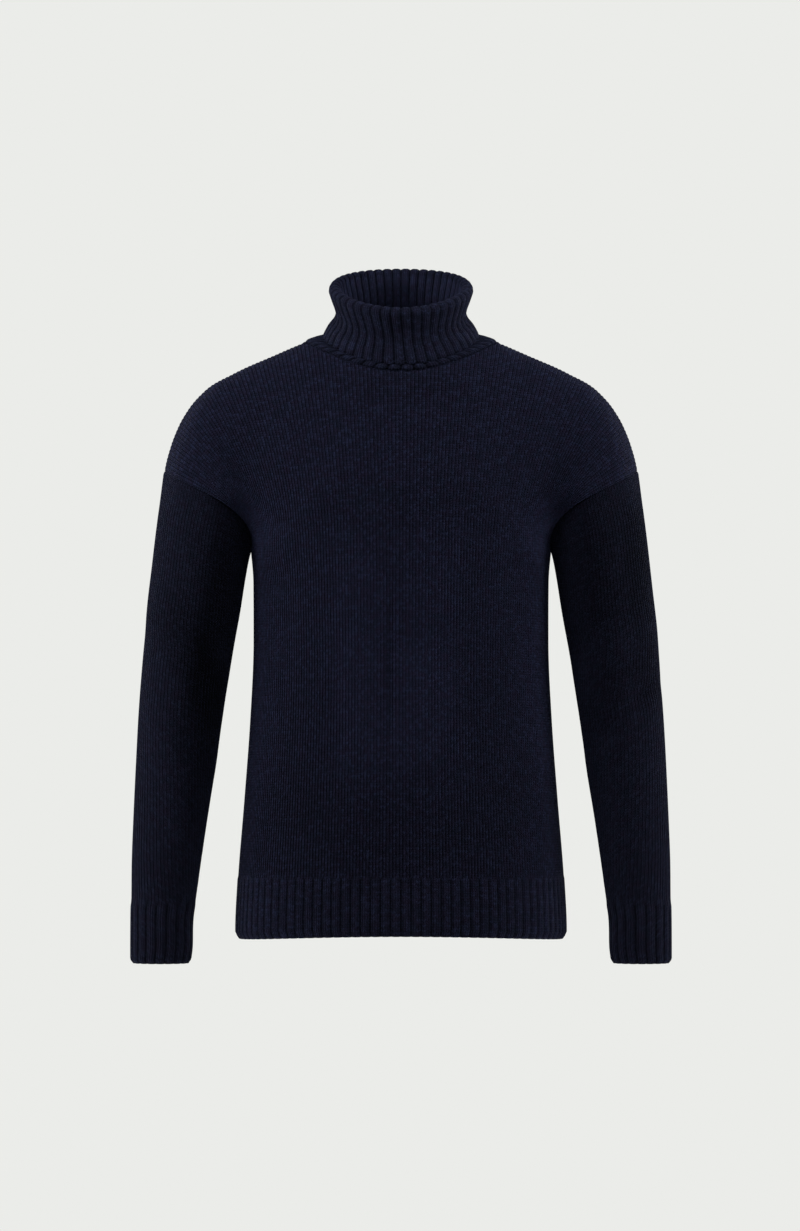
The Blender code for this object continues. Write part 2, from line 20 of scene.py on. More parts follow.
import bmesh
import bpy
import numpy as np
from numpy.typing import NDArray
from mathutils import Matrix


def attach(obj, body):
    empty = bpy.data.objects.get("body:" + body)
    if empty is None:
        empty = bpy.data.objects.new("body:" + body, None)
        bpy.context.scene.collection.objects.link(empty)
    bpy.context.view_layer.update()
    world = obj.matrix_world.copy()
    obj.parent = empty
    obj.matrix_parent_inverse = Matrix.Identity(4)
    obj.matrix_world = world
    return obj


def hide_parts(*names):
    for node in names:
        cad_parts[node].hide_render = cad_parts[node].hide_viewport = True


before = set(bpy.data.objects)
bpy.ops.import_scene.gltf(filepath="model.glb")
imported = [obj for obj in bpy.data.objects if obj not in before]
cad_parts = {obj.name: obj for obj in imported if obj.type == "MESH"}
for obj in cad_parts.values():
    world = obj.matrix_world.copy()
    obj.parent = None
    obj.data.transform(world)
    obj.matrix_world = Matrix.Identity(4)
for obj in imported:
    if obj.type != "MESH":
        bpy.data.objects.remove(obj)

Array = NDArray[np.float64]
Numbers = NDArray[np.int64]
Colour = tuple[float, float, float, float]
Span = tuple[float, float]
Tree = bpy.types.NodeTree
Socket = bpy.types.NodeSocket
Piece = bpy.types.Object

log = logging.getLogger("sweater")

MM = 0.001
TINY_STEP = 1e-4  # to read a direction from two points of a curve or face
BULGE_PEAK = 6.75  # scales t * (1 - t) ** 2 to a peak of 1
SAME_PLACE = 1e-9  # columns or rows no farther apart than this are level
FAR = 1e3  # millimetres, beyond the reach of any edge
SHARP_ANGLE = math.radians(70)
PATCH_WRAP = (-0.35, 0.6)  # how far a patch reaches round a flank, as the share that faces its side
BODY = "root"


class Side(Enum):
    """The two panels of the body, each with the sign of Y on which it lies."""

    FRONT = -1
    BACK = 1


class Hand(Enum):
    """The wearer's two arms, each with the sign of X on which it lies."""

    LEFT = 1
    RIGHT = -1


class Stitch(Enum):
    """The two faces of plain knitting, each with how steeply its legs lean."""

    KNIT = 1.1
    PURL = 0.25


# ---- curves


def hermite(start: Array, start_pull: Array, end: Array, end_pull: Array, t: Array) -> Array:
    """Runs a cubic between two points with given slopes, t from 0 at the first to 1 at the second."""
    t2, t3 = t * t, t * t * t
    return (
        (2 * t3 - 3 * t2 + 1) * start
        + (t3 - 2 * t2 + t) * start_pull
        + (3 * t2 - 2 * t3) * end
        + (t3 - t2) * end_pull
    )


def held_slopes(xs: Array, ys: Array) -> Array:
    """Slopes taken from the neighbours, held back where the curve would swing past a point."""
    slopes = np.gradient(ys, xs, axis=0)
    steps = np.diff(ys, axis=0) / np.diff(xs).reshape((-1,) + (1,) * (ys.ndim - 1))
    before, after = np.concatenate([steps[:1], steps]), np.concatenate([steps, steps[-1:]])
    limit = 3 * np.minimum(np.abs(before), np.abs(after))
    return np.where(before * after <= 0, 0.0, np.clip(slopes, -limit, limit))


def smooth_curve(xs: Array, ys: Array, at: Array, held: bool = False) -> Array:
    """Reads the cubic through given points whose slopes are taken from their neighbours.

    Args:
        xs: Places of the points, rising.
        ys: Values there, one number or one array for each place.
        at: Places at which the curve is read.
        held: True where the curve mustn't swing past its points.

    Returns:
        One value for each place in at.
    """
    slopes = held_slopes(xs, ys) if held else np.gradient(ys, xs, axis=0)
    at = np.atleast_1d(at)
    i = np.clip(np.searchsorted(xs, at) - 1, 0, len(xs) - 2)
    shape = (-1,) + (1,) * (ys.ndim - 1)
    width = (xs[i + 1] - xs[i]).reshape(shape)
    t = (at - xs[i]).reshape(shape) / width
    return hermite(ys[i], slopes[i] * width, ys[i + 1], slopes[i + 1] * width, t)


def smooth_step(low: float, high: float, at: Array) -> Array:
    """Rises softly from 0 at low to 1 at high."""
    t = np.clip((np.asarray(at, float) - low) / (high - low), 0.0, 1.0)
    return t * t * (3 - 2 * t)


def between(span: Span, share: Array) -> Array:
    """The value at a share of the way between two numbers."""
    return span[0] + (span[1] - span[0]) * share


def unit(vectors: Array) -> Array:
    """Scales each vector along the last axis to length 1."""
    return vectors / np.maximum(np.linalg.norm(vectors, axis=-1, keepdims=True), 1e-9)


def run_lengths(points: Array, axis: int = 0) -> Array:
    """Measures how far each point lies along its line.

    Args:
        points: Points of one or more lines, with coordinates on the last axis.
        axis: The axis that runs along the lines.

    Returns:
        Distances from each line's first point.
    """
    steps = np.linalg.norm(np.diff(points, axis=axis), axis=-1)
    pad = [(0, 0)] * steps.ndim
    pad[axis] = (1, 0)
    return np.pad(np.cumsum(steps, axis=axis), pad)


def along_line(points: Array, share: Array) -> Array:
    """Finds the points at given shares of a line's length."""
    run = run_lengths(points)
    at = np.asarray(share) * run[-1]
    return np.stack([np.interp(at, run, points[:, k]) for k in range(points.shape[1])], axis=-1)


def rounded_edge(distance: Array, radius: float) -> Array:
    """How far a face sinks beside a rounded edge: by radius at the edge, and 0 one radius from it."""
    left = 1 - np.clip(distance / radius, 0.0, 1.0)
    return radius * (1 - np.sqrt(1 - left * left))


# ---- knitting


@dataclass(frozen=True)
class Gauge:
    """The knitting's real sizes.

    A wale is a column of stitches and a course is a row of them. A rib is two knit wales that stand out
    beside one purl wale that sinks in.
    """

    wale: float = 3.6
    course: float = 2.8
    wales_in_rib: int = 3
    wall: float = 3.0
    wale_relief: float = 0.8
    wale_power: float = 0.8
    rib_power: float = 0.75
    groove: float = 0.16
    groove_share: float = 0.075
    purl_share: float = 0.1
    end_curl: float = 0.5
    seam_gap: float = 0.3
    seam_lap: float = 0.12
    seam_margin: float = 2.5
    wale_points: int = 4
    back_rows: int = 2
    back_crown: float = 0.5
    edge_rows: tuple[float, ...] = (0.0, 0.35, 0.9, 1.6)

    def wale_height(self, wale: Array) -> Array:
        """Height of plain knit, 0 between two wales and 1 on a wale."""
        return np.abs(np.sin(math.pi * wale)) ** self.wale_power

    def rib_height(self, wale: Array) -> Array:
        """Height of ribbing, 0 in the purl wale and 1 on the crown of the two knit wales."""
        rib = (wale - 0.5) / self.wales_in_rib
        crown = np.abs(np.sin(math.pi * rib)) ** self.rib_power
        middle = (rib - 0.5) - np.round(rib - 0.5)
        return crown - self.groove * np.exp(-((middle / self.groove_share) ** 2))

    def drawn_wale(self, wale: Array, ribbed: Array | float) -> Array:
        """Numbers the wales as they show: in ribbing the purl wale is squeezed into its valley.

        Args:
            wale: Evenly spaced wale numbers.
            ribbed: 1 in ribbing and 0 in plain knit.

        Returns:
            Wale numbers for the stitches.
        """
        rib = (wale - 0.5) / self.wales_in_rib
        first = np.floor(rib)
        share = rib - first
        squeeze = self.purl_share / 2
        shown = np.interp(share, (0.0, squeeze, 0.5, 1 - squeeze, 1.0), (0.5, 1.0, 2.0, 3.0, 3.5))
        return (1 - ribbed) * wale + ribbed * (first * self.wales_in_rib + shown)

    def knit_at(self, points: Array, wale: Array, ribbed: Array | float) -> Array:
        """Knit coordinates of a face: the drawn wale and the course at each of its points."""
        course = run_lengths(points) / self.course
        wale = np.broadcast_to(wale, course.shape)
        return np.stack([self.drawn_wale(wale, ribbed), course], axis=-1)

    def columns(self, ribs: int) -> Array:
        """Wale numbers of a cloth's columns, from one purl valley to another that many ribs on."""
        count = ribs * self.wales_in_rib * self.wale_points
        return 0.5 + np.arange(count + 1) / self.wale_points


GAUGE = Gauge()


@dataclass(frozen=True)
class Cloth:
    """One face of a cloth.

    Attributes:
        points: Rows by columns by 3.
        knit: Rows by columns by 2, the wale and the course at each point.
        crown: Rows by columns, the lightness painted into the yarn's colour, painted shade: 0 in a valley
            and 1 on a rib or a wale.
        places: One number for each column, to match the columns of two faces.
        heights: One number for each row, to match the rows of two faces.
    """

    points: Array
    knit: Array
    crown: Array
    places: Array
    heights: Array


def face_normals(points: Array, round_columns: bool = False) -> Array:
    """Finds the directions square to a face.

    Args:
        points: Rows by columns by 3.
        round_columns: True where the last column lies on the first.

    Returns:
        Unit vectors of the same shape.
    """
    across = np.gradient(points, axis=1)
    if round_columns:
        across[:, 0] = across[:, -1] = points[:, 1] - points[:, -2]
    return unit(np.cross(across, np.gradient(points, axis=0)))


class Patch(NamedTuple):
    """An oval patch on the cloth, placed as it is seen from the front or from behind.

    Its long axis runs through (x, z) at tilt degrees from the level. Amount is what it adds: millimetres
    outwards for a fold of worn cloth, or lightness painted into the yarn's colour, which is painted light
    and shade. It is negative for a hollow or for painted shade. The cloth on the other side isn't
    changed.
    """

    x: float
    z: float
    tilt: float
    length: float
    width: float
    amount: float


def add_patches(
    points: Array, normals: Array, patches: Sequence[Patch], side: Side, power: int = 2
) -> Array:
    """Adds up what patches do to a face.

    Args:
        points: Points of the face.
        normals: Directions square to it.
        patches: The patches.
        side: The side of the sweater that they are on.
        power: How clear their edges are, 2 for soft ones.

    Returns:
        The amount at each point.
    """
    total = np.zeros(points.shape[:-1])
    for patch in patches:
        tilt = math.radians(patch.tilt)
        x, z = points[..., 0] - patch.x, points[..., 2] - patch.z
        along = (x * math.cos(tilt) + z * math.sin(tilt)) / patch.length
        across = (z * math.cos(tilt) - x * math.sin(tilt)) / patch.width
        total += patch.amount * np.exp(-(along**power) - across**power)
    return total * smooth_step(*PATCH_WRAP, normals[..., 1] * side.value)


def add_object(name: str, data: bpy.types.ID) -> Piece:
    """Adds an object to the scene."""
    made = bpy.data.objects.new(name, data)
    bpy.context.scene.collection.objects.link(made)
    return made


class MeshMaker:
    """Collects the faces of one piece and makes its object.

    A corner has a number, a point and knit coordinates. Corners that are welded share one vertex but
    keep their own knit coordinates, so that a tube's pattern can end at its seam.
    """

    def __init__(self) -> None:
        """Starts with nothing."""
        self.points: list[Array] = []
        self.knit: list[Array] = []
        self.crown: list[Array] = []
        self.weld: list[Numbers] = []
        self.faces: list[Numbers] = []
        self.slots: list[Numbers] = []
        self.count = 0

    def add_cloth(self, cloth: Cloth, slot: int, closed: bool = False, ring: bool = False) -> Numbers:
        """Adds a face of cloth as quads.

        Args:
            cloth: The face.
            slot: Its material slot.
            closed: True where its last column is welded to its first.
            ring: True where its last row is welded to its first.

        Returns:
            The corners' numbers, rows by columns.
        """
        rows, columns = cloth.points.shape[:2]
        numbers = self.count + np.arange(rows * columns).reshape(rows, columns)
        weld = numbers.copy()
        if closed:
            weld[:, -1] = weld[:, 0]
        if ring:
            weld[-1] = weld[0]
        self.points.append(cloth.points.reshape(-1, 3))
        self.knit.append(cloth.knit.reshape(-1, 2))
        self.crown.append(cloth.crown.reshape(-1))
        self.weld.append(weld.reshape(-1))
        self.count += rows * columns
        low, high = numbers[:-1], numbers[1:]
        quads = np.stack([low[:, :-1], low[:, 1:], high[:, 1:], high[:, :-1]], axis=-1)
        self.add_faces(quads.reshape(-1, 4), slot)
        return numbers

    def add_faces(self, faces: Numbers, slot: int) -> None:
        """Adds faces that have four corners, the last of them repeated where a face is a triangle."""
        self.faces.append(faces)
        self.slots.append(np.full(len(faces), slot))

    def zip_lines(self, line_a: Numbers, places_a: Array, line_b: Numbers, places_b: Array) -> None:
        """Fills the strip between two lines of corners, which may hold different numbers of them.

        Args:
            line_a: Corners of the one line.
            places_a: Their places.
            line_b: Corners of the other line.
            places_b: Their places.
        """
        faces: list[tuple[int, int, int, int]] = []
        ends_a, ends_b = [*places_a, math.inf], [*places_b, math.inf]
        i = j = 0
        while i < len(line_a) - 1 or j < len(line_b) - 1:
            next_a, next_b = ends_a[i + 1], ends_b[j + 1]
            if abs(next_a - next_b) < SAME_PLACE:
                faces.append((line_a[i], line_a[i + 1], line_b[j + 1], line_b[j]))
                i, j = i + 1, j + 1
            elif next_a < next_b:
                faces.append((line_a[i], line_a[i + 1], line_b[j], line_b[j]))
                i += 1
            else:
                faces.append((line_a[i], line_b[j + 1], line_b[j], line_b[j]))
                j += 1
        self.add_faces(np.array(faces), 0)

    def make(self, name: str, finishes: Sequence[WoolKnit]) -> Piece:
        """Makes the object, with all faces turned outwards.

        Args:
            name: Its name.
            finishes: One for each material slot of the mesh.

        Returns:
            The object.
        """
        points = np.concatenate(self.points) * MM
        knit, crown = np.concatenate(self.knit), np.concatenate(self.crown)
        used, vertex = np.unique(np.concatenate(self.weld), return_inverse=True)
        faces, slots = np.concatenate(self.faces), np.concatenate(self.slots)
        sizes = np.where(faces[:, 2] == faces[:, 3], 3, 4)
        corners = faces.reshape(-1)[(np.arange(4) < sizes[:, None]).reshape(-1)]
        mesh = bpy.data.meshes.new(name)
        mesh.vertices.add(len(used))
        mesh.vertices.foreach_set("co", points[used].reshape(-1))
        mesh.loops.add(len(corners))
        mesh.loops.foreach_set("vertex_index", vertex[corners].astype(np.int32))
        mesh.polygons.add(len(faces))
        mesh.polygons.foreach_set("loop_start", (np.cumsum(sizes) - sizes).astype(np.int32))
        mesh.polygons.foreach_set("material_index", slots.astype(np.int32))
        mesh.update(calc_edges=True)
        mesh.validate()
        uv = mesh.uv_layers.new(name="knit")
        uv.data.foreach_set("uv", knit[corners].reshape(-1).astype(np.float32))
        layer = mesh.attributes.new("crown", "FLOAT", "POINT")
        layer.data.foreach_set("value", crown[used].astype(np.float32))
        for finish in finishes:
            mesh.materials.append(finish.make())
        mesh.shade_smooth()
        mesh.set_sharp_from_angle(angle=SHARP_ANGLE)
        bm = bmesh.new()
        bm.from_mesh(mesh)
        bmesh.ops.recalc_face_normals(bm, faces=bm.faces)
        bm.to_mesh(mesh)
        bm.free()
        return add_object(name, mesh)


# ---- the body's form


class TorsoSection(NamedTuple):
    """A horizontal section of the body below the arms."""

    z: float
    half_width: float
    front: float
    back: float


class Run(NamedTuple):
    """How strongly the armhole's edge sets out: along its chord, towards the neck, and in depth."""

    along: float
    to_neck: float
    depth: float


class NeckCut(NamedTuple):
    """How a panel is cut out for the neck.

    stop is the share of its middle wale that is left, lift raises the ridge over the opening, and pull
    is how strongly its wales bend over that ridge.
    """

    stop: float
    lift: float
    pull: float


@dataclass(frozen=True)
class BodyForm:
    """The outer face of the body, filled out as it is worn."""

    hem_z: float = -649.0
    underarm_z: float = -220.0
    hem_lift: float = 6.0
    hem_lift_reach: float = 120.0
    fullness: float = 2.35
    centre_spread: float = 0.12
    edge_from: float = 0.6
    shoulder_round: float = 215.0
    chest_rise: float = 205.0
    neck_half_width: float = 106.0
    neck_reach: float = 1.5
    edge_inset: float = 2e-3
    end_inset: float = 0.02
    section_points: int = 401
    ridge_points: int = 721
    torso: tuple[TorsoSection, ...] = (
        TorsoSection(-649.0, 177.5, 108.0, 111.0),
        TorsoSection(-641.0, 181.0, 112.0, 115.0),
        TorsoSection(-585.0, 178.5, 112.0, 114.0),
        TorsoSection(-497.0, 171.5, 111.0, 108.0),
        TorsoSection(-409.0, 165.0, 111.0, 102.0),
        TorsoSection(-321.0, 161.3, 114.0, 100.0),
        TorsoSection(-260.0, 161.3, 118.0, 103.0),
        TorsoSection(-220.0, 164.5, 120.0, 107.0),
    )
    ridge: tuple[tuple[float, float], ...] = (
        (0.0, 26.0),
        (50.0, 21.0),
        (106.0, 5.6),
        (140.0, -8.8),
        (184.0, -28.6),
        (216.7, -48.4),
        (234.0, -68.2),
        (245.3, -88.0),
        (253.0, -107.8),
        (258.5, -127.6),
        (260.1, -135.4),
    )
    underarm_run: Run = Run(60.0, 125.0, 176.0)
    top_run: Run = Run(60.0, -5.0, 262.0)
    front_cut: NeckCut = NeckCut(0.67, -6.0, 285.0)
    back_cut: NeckCut = NeckCut(0.79, 12.0, 345.0)

    def ridge_line(self) -> Array:
        """The line where front and back are joined, from over the neck's middle out to the armhole."""
        table = np.array(self.ridge)
        xs = np.linspace(0.0, table[-1, 0], self.ridge_points)
        zs = smooth_curve(table[:, 0], table[:, 1], xs)
        return np.stack([xs, np.zeros_like(xs), zs], axis=-1)

    def neck_share(self) -> float:
        """The share of the ridge that lies over the neck opening."""
        line = self.ridge_line()
        run = run_lengths(line)
        return float(np.interp(self.neck_half_width, line[:, 0], run) / run[-1])

    def chord(self) -> tuple[Array, Array, Array, Array]:
        """The armhole's lowest and highest point, the direction between them and that to the neck."""
        low = np.array([self.torso[-1].half_width, 0.0, self.underarm_z])
        high = self.ridge_line()[-1]
        along = unit(high - low)
        return low, high, along, np.array([-along[2], 0.0, along[0]])

    def armhole_pulls(self, side: Side) -> tuple[Array, Array]:
        """The slopes with which the armhole's edge leaves the underarm and reaches its top."""
        _, _, along, to_neck = self.chord()
        out = np.array([0.0, side.value, 0.0])
        start, end = self.underarm_run, self.top_run
        return (
            along * start.along + to_neck * start.to_neck + out * start.depth,
            along * end.along - to_neck * end.to_neck - out * end.depth,
        )

    def armhole(self, share: Array, side: Side) -> Array:
        """Points of the armhole's edge at +X, share 0 at the underarm and 1 on the shoulder."""
        low, high, _, _ = self.chord()
        start, end = self.armhole_pulls(side)
        return hermite(low, start, high, end, np.asarray(share)[..., None])

    def torso_points(self, u: Array, z: Array, side: Side) -> Array:
        """Finds points of the body below the arms.

        Args:
            u: Places across the panel, -1 and 1 at the side seams.
            z: Heights.
            side: The panel.

        Returns:
            Points, one row for each height and one column for each place.
        """
        table = np.array([tuple(row) for row in self.torso])
        half_width = smooth_curve(table[:, 0], table[:, 1], z, held=True)
        depth = smooth_curve(table[:, 0], table[:, 2 if side is Side.FRONT else 3], z, held=True)
        share = np.abs(u) * (1 + self.centre_spread) - self.centre_spread * u * u
        angle = np.linspace(0, math.pi / 2, self.section_points)
        power = 2 / self.fullness
        sine, cosine = np.sin(angle) ** power, np.cos(angle).clip(0) ** power
        rows = []
        for at, width, reach in zip(z, half_width, depth):
            quarter = np.stack([width * sine, reach * cosine], axis=-1)
            across, out = along_line(quarter, share).T
            lift = np.zeros_like(across)
            if side is Side.FRONT:
                near_hem = 1 - smooth_step(0.0, self.hem_lift_reach, at - self.hem_z)
                lift = self.hem_lift * near_hem * (1 - (across / width) ** 2)
            rows.append(np.stack([np.copysign(across, u), side.value * out, at + lift], axis=-1))
        return np.array(rows)

    def cut(self, side: Side) -> NeckCut:
        """How a panel is cut out for the neck."""
        return self.front_cut if side is Side.FRONT else self.back_cut

    def stop(self, u: Array, side: Side) -> Array:
        """The share of each wale above the underarm that is left beside the neck opening."""
        inside = np.sqrt(np.clip(1 - (u / self.neck_share()) ** 2, 0.0, 1.0))
        return 1 - (1 - self.cut(side).stop) * inside

    def yoke_points(self, u: Array, t: Array, side: Side) -> Array:
        """Finds points of the body above the underarm.

        Args:
            u: Places across the panel.
            t: Shares of each wale, rows by columns, 0 at the underarm and 1 on the ridge.
            side: The panel.

        Returns:
            Points, rows by columns by 3.
        """
        cut = self.cut(side)
        mirror = np.stack([np.where(u < 0, -1.0, 1.0), np.ones_like(u), np.ones_like(u)], axis=-1)
        start_pull, end_pull = (pull * mirror for pull in self.armhole_pulls(side))
        neck = self.neck_share()
        to_edge = smooth_step(self.edge_from, 1.0, np.abs(u))[:, None]
        over_neck = np.clip(1 - (u / neck) ** 2, 0.0, 1.0) ** 2
        near_neck = 1 - smooth_step(0.0, neck * self.neck_reach, np.abs(u))
        pull = self.shoulder_round + (cut.pull - self.shoulder_round) * near_neck
        rise = (1 - to_edge) * np.array([0.0, 0.0, self.chest_rise]) + to_edge * start_pull
        over = np.zeros((len(u), 3))
        over[:, 1] = -side.value * pull
        over = (1 - to_edge) * over + to_edge * end_pull
        top = along_line(self.ridge_line(), np.abs(u)) * mirror
        top[:, 2] += cut.lift * over_neck
        start = self.torso_points(u, np.array([self.underarm_z]), side)[0]
        return hermite(start, rise, top, over, t[..., None])

    def yoke_normals(self, u: Array, t: Array, side: Side) -> Array:
        """Directions square to the body's face above the underarm, for one row of places."""
        low, high = np.clip(u - TINY_STEP, -1, 1), np.clip(u + TINY_STEP, -1, 1)
        across = self.yoke_points(high, t, side) - self.yoke_points(low, t, side)
        above, below = np.clip(t + TINY_STEP, 0, 1), np.clip(t - TINY_STEP, 0, 1)
        up = self.yoke_points(u, above, side) - self.yoke_points(u, below, side)
        return unit(np.cross(across, up)) * -side.value

    def along_neck(self, angle: Array, read: Callable[[Array, Array, Side], Array]) -> Array:
        """Reads both panels along the neck seam.

        Args:
            angle: 0 in the middle of the front and half a turn in the middle of the back.
            read: What is read of a panel.

        Returns:
            One value for each angle.
        """
        places = self.neck_share() * np.sin(angle)
        made = np.zeros((len(angle), 3))
        for side in Side:
            here = (np.cos(angle) >= 0) == (side is Side.FRONT)
            t = 1 - (1 - self.cut(side).stop) * np.abs(np.cos(angle))
            made[here] = read(places, t[None, :], side)[0][here]
        return made

    def neck_edge(self, angle: Array) -> Array:
        """The neck seam."""
        return self.along_neck(angle, self.yoke_points)

    def neck_normals(self, angle: Array) -> Array:
        """Directions square to the body's face along the neck seam."""
        return self.along_neck(angle, self.yoke_normals)

    def neck_run(self, angle: Array) -> Array:
        """Short steps along the neck seam."""
        return self.neck_edge(angle + TINY_STEP) - self.neck_edge(angle - TINY_STEP)

    def armhole_normals(self, share: Array, side: Side) -> Array:
        """Directions square to the panel's face along its armhole at +X, a little inside the edge."""
        inside = np.full(len(share), 1 - self.edge_inset)
        ends = self.end_inset, 1 - self.end_inset
        return self.yoke_normals(inside, np.clip(share, *ends)[None, :], side)[0]


FORM = BodyForm()


# ---- finishes


def linear(colour: str) -> Colour:
    """Turns an sRGB hex value into a linear colour."""
    shares = [int(colour[i : i + 2], 16) / 255 for i in (1, 3, 5)]
    parts = [c / 12.92 if c <= 0.04045 else ((c + 0.055) / 1.055) ** 2.4 for c in shares]
    return (parts[0], parts[1], parts[2], 1.0)


def set_inputs(tree: Tree, node: bpy.types.Node, inputs: dict[str | int, object]) -> None:
    """Sets inputs of a node.

    Args:
        tree: Where it is.
        node: The node.
        inputs: What each input gets, by name or number: a value, or a socket that it is joined to.
    """
    for key, value in inputs.items():
        if isinstance(value, Socket):
            tree.links.new(value, node.inputs[key])
        else:
            node.inputs[key].default_value = value


def add_node(tree: Tree, kind: str, inputs: dict[str | int, object], **settings: object) -> Socket:
    """Adds a node with its settings and links.

    Args:
        tree: Where it goes.
        kind: Blender's name of the node's type, without its first word ShaderNode.
        inputs: What its inputs get.
        settings: Its own properties.

    Returns:
        Its first output that is in use.
    """
    node = tree.nodes.new("ShaderNode" + kind)
    for key, value in settings.items():
        setattr(node, key, value)
    set_inputs(tree, node, inputs)
    return next(socket for socket in node.outputs if socket.enabled)


def calculate(tree: Tree, operation: str, *inputs: object) -> Socket:
    """Adds one step of arithmetic on numbers or sockets."""
    return add_node(tree, "Math", dict(enumerate(inputs)), operation=operation)


def map_range(tree: Tree, value: Socket, old: Span, new: Span) -> Socket:
    """Adds a step that turns one range of values into another."""
    return add_node(tree, "MapRange", dict(enumerate((value, *old, *new))))


@dataclass(frozen=True)
class WoolKnit:
    """Woollen yarn, spun from fibres dyed in close shades and knitted on a machine.

    It has no gloss. The stitches read as fine upright lines, drawn with bumps and with painted shade
    between their legs and rows, the close shades as a faint mottle, and the loose fibres as a pale bloom
    where the cloth turns away. Its colour also takes the painted shade and light of the crown attribute.
    """

    name: str
    yarn: str
    shade: str
    fleck: str
    stitch: Stitch = Stitch.KNIT
    roughness: float = 0.95
    sheen: float = 0.1
    bloom: str = "#7f8ab8"
    stitch_height: float = 0.9
    mottle_size: float = 8.0
    spread: float = 1.4
    fibre_size: float = 1.4  # real fibres are 0.02 mm wide; drawn coarse enough to show
    stray: tuple[float, float, float] = (0.16, 0.6, 0.0)
    stray_scale: float = 0.8
    row_depth: float = 1.3
    row_floor: float = 0.35
    mottle_span: Span = (0.35, 0.65)
    fleck_from: float = 0.55
    fleck_share: float = 0.6
    unevenness: float = 0.24
    leg_light: float = 0.6
    crown_light: float = 0.7
    height_span: Span = (0.75, 2.1)
    light_span: Span = (0.08, 2.25)
    fibre_height: float = 0.4
    bump: float = 0.9
    wool_ior: float = 1.54
    specular: float = 0.04
    sheen_roughness: float = 0.5

    def stitches(self, tree: Tree) -> tuple[Socket, Socket]:
        """Draws the stitches from the cloth's knit coordinates.

        Args:
            tree: The material's nodes.

        Returns:
            The height of the stitches' legs, from 0 to 1, and a number from 0 to 1 for each stitch.
        """
        knit = add_node(tree, "UVMap", {}, uv_map="knit")
        noise = add_node(tree, "TexNoise", {"Vector": knit, "Scale": self.stray_scale, "Detail": 2.0})
        stray = noise.node.outputs["Color"]
        moved = add_node(tree, "VectorMath", {0: stray, 1: self.stray, 2: knit}, operation="MULTIPLY_ADD")
        x, y, _ = add_node(tree, "SeparateXYZ", {0: moved}).node.outputs
        across = calculate(tree, "PINGPONG", x, 0.5)
        legs = calculate(tree, "SINE", calculate(tree, "MULTIPLY", across, 2 * math.pi))
        lean = calculate(tree, "MULTIPLY_ADD", across, self.stitch.value, y)
        beat = calculate(tree, "PINGPONG", lean, 0.5)
        rows = calculate(tree, "MULTIPLY_ADD", beat, self.row_depth, self.row_floor)
        column, row = calculate(tree, "FLOOR", x), calculate(tree, "FLOOR", lean)
        cell = add_node(tree, "CombineXYZ", {0: column, 1: row})
        single = add_node(tree, "TexWhiteNoise", {"Vector": cell})
        return calculate(tree, "MULTIPLY", legs, rows), single

    def make(self) -> bpy.types.Material:
        """Makes the material."""
        material = bpy.data.materials.new(self.name)
        material.use_nodes = True
        tree = material.node_tree
        place = add_node(tree, "TexCoord", {}).node.outputs["Object"]
        height, single = self.stitches(tree)
        mottle, fibre = (
            add_node(tree, "TexNoise", {"Vector": place, "Scale": 1 / (size * MM), "Detail": detail})
            for size, detail in ((self.mottle_size, 4.0), (self.fibre_size, 3.0))
        )
        blend = map_range(tree, mottle, self.mottle_span, (0.0, 1.0))
        spots = map_range(tree, single, (self.fleck_from, 1.0), (0.0, self.fleck_share))
        colour: object = linear(self.yarn)
        for share, other in ((blend, self.shade), (spots, self.fleck)):
            colour = add_node(tree, "Mix", {0: share, 6: colour, 7: linear(other)}, data_type="RGBA")
        crown = add_node(tree, "Attribute", {}, attribute_name="crown").node.outputs["Fac"]
        # Painted light and shade: the colour is scaled darker between the stitches' legs and rows, and by
        # the crown attribute's painted valley shade and patches; single and fibre add random tone.
        lift = calculate(tree, "MULTIPLY", single, self.unevenness)
        for source, share in ((height, self.leg_light), (crown, self.crown_light), (fibre, self.spread)):
            lift = calculate(tree, "MULTIPLY_ADD", source, share, lift)
        light = map_range(tree, lift, self.height_span, self.light_span)
        rough = calculate(tree, "MULTIPLY_ADD", fibre, self.fibre_height, height)
        deep = {"Strength": self.bump, "Distance": self.stitch_height * MM}
        looks = {
            "Base Color": add_node(tree, "VectorMath", {0: colour, "Scale": light}, operation="SCALE"),
            "Normal": add_node(tree, "Bump", {"Height": rough, **deep}),
            "Roughness": self.roughness,
            "IOR": self.wool_ior,
            "Specular IOR Level": self.specular,
            "Sheen Weight": self.sheen,
            "Sheen Roughness": self.sheen_roughness,
            "Sheen Tint": linear(self.bloom),
        }
        set_inputs(tree, tree.nodes["Principled BSDF"], looks)
        return material


# ---- pieces


class Cut(NamedTuple):
    """The flat cloth of a piece: its width and length in metres and its area in square metres."""

    width: float
    length: float
    area: float


def declare(piece: Piece, node: str) -> None:
    """Attaches a piece of cloth to the body, hides the CAD node that it stands for and logs its size.

    Args:
        piece: The piece.
        node: The CAD node that it stands for.
    """
    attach(piece, BODY)
    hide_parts(node)
    surface = sum(face.area for face in piece.data.polygons)
    log.info("%s: %d faces, cloth %.4f m2", piece.name, len(piece.data.polygons), surface / 2)


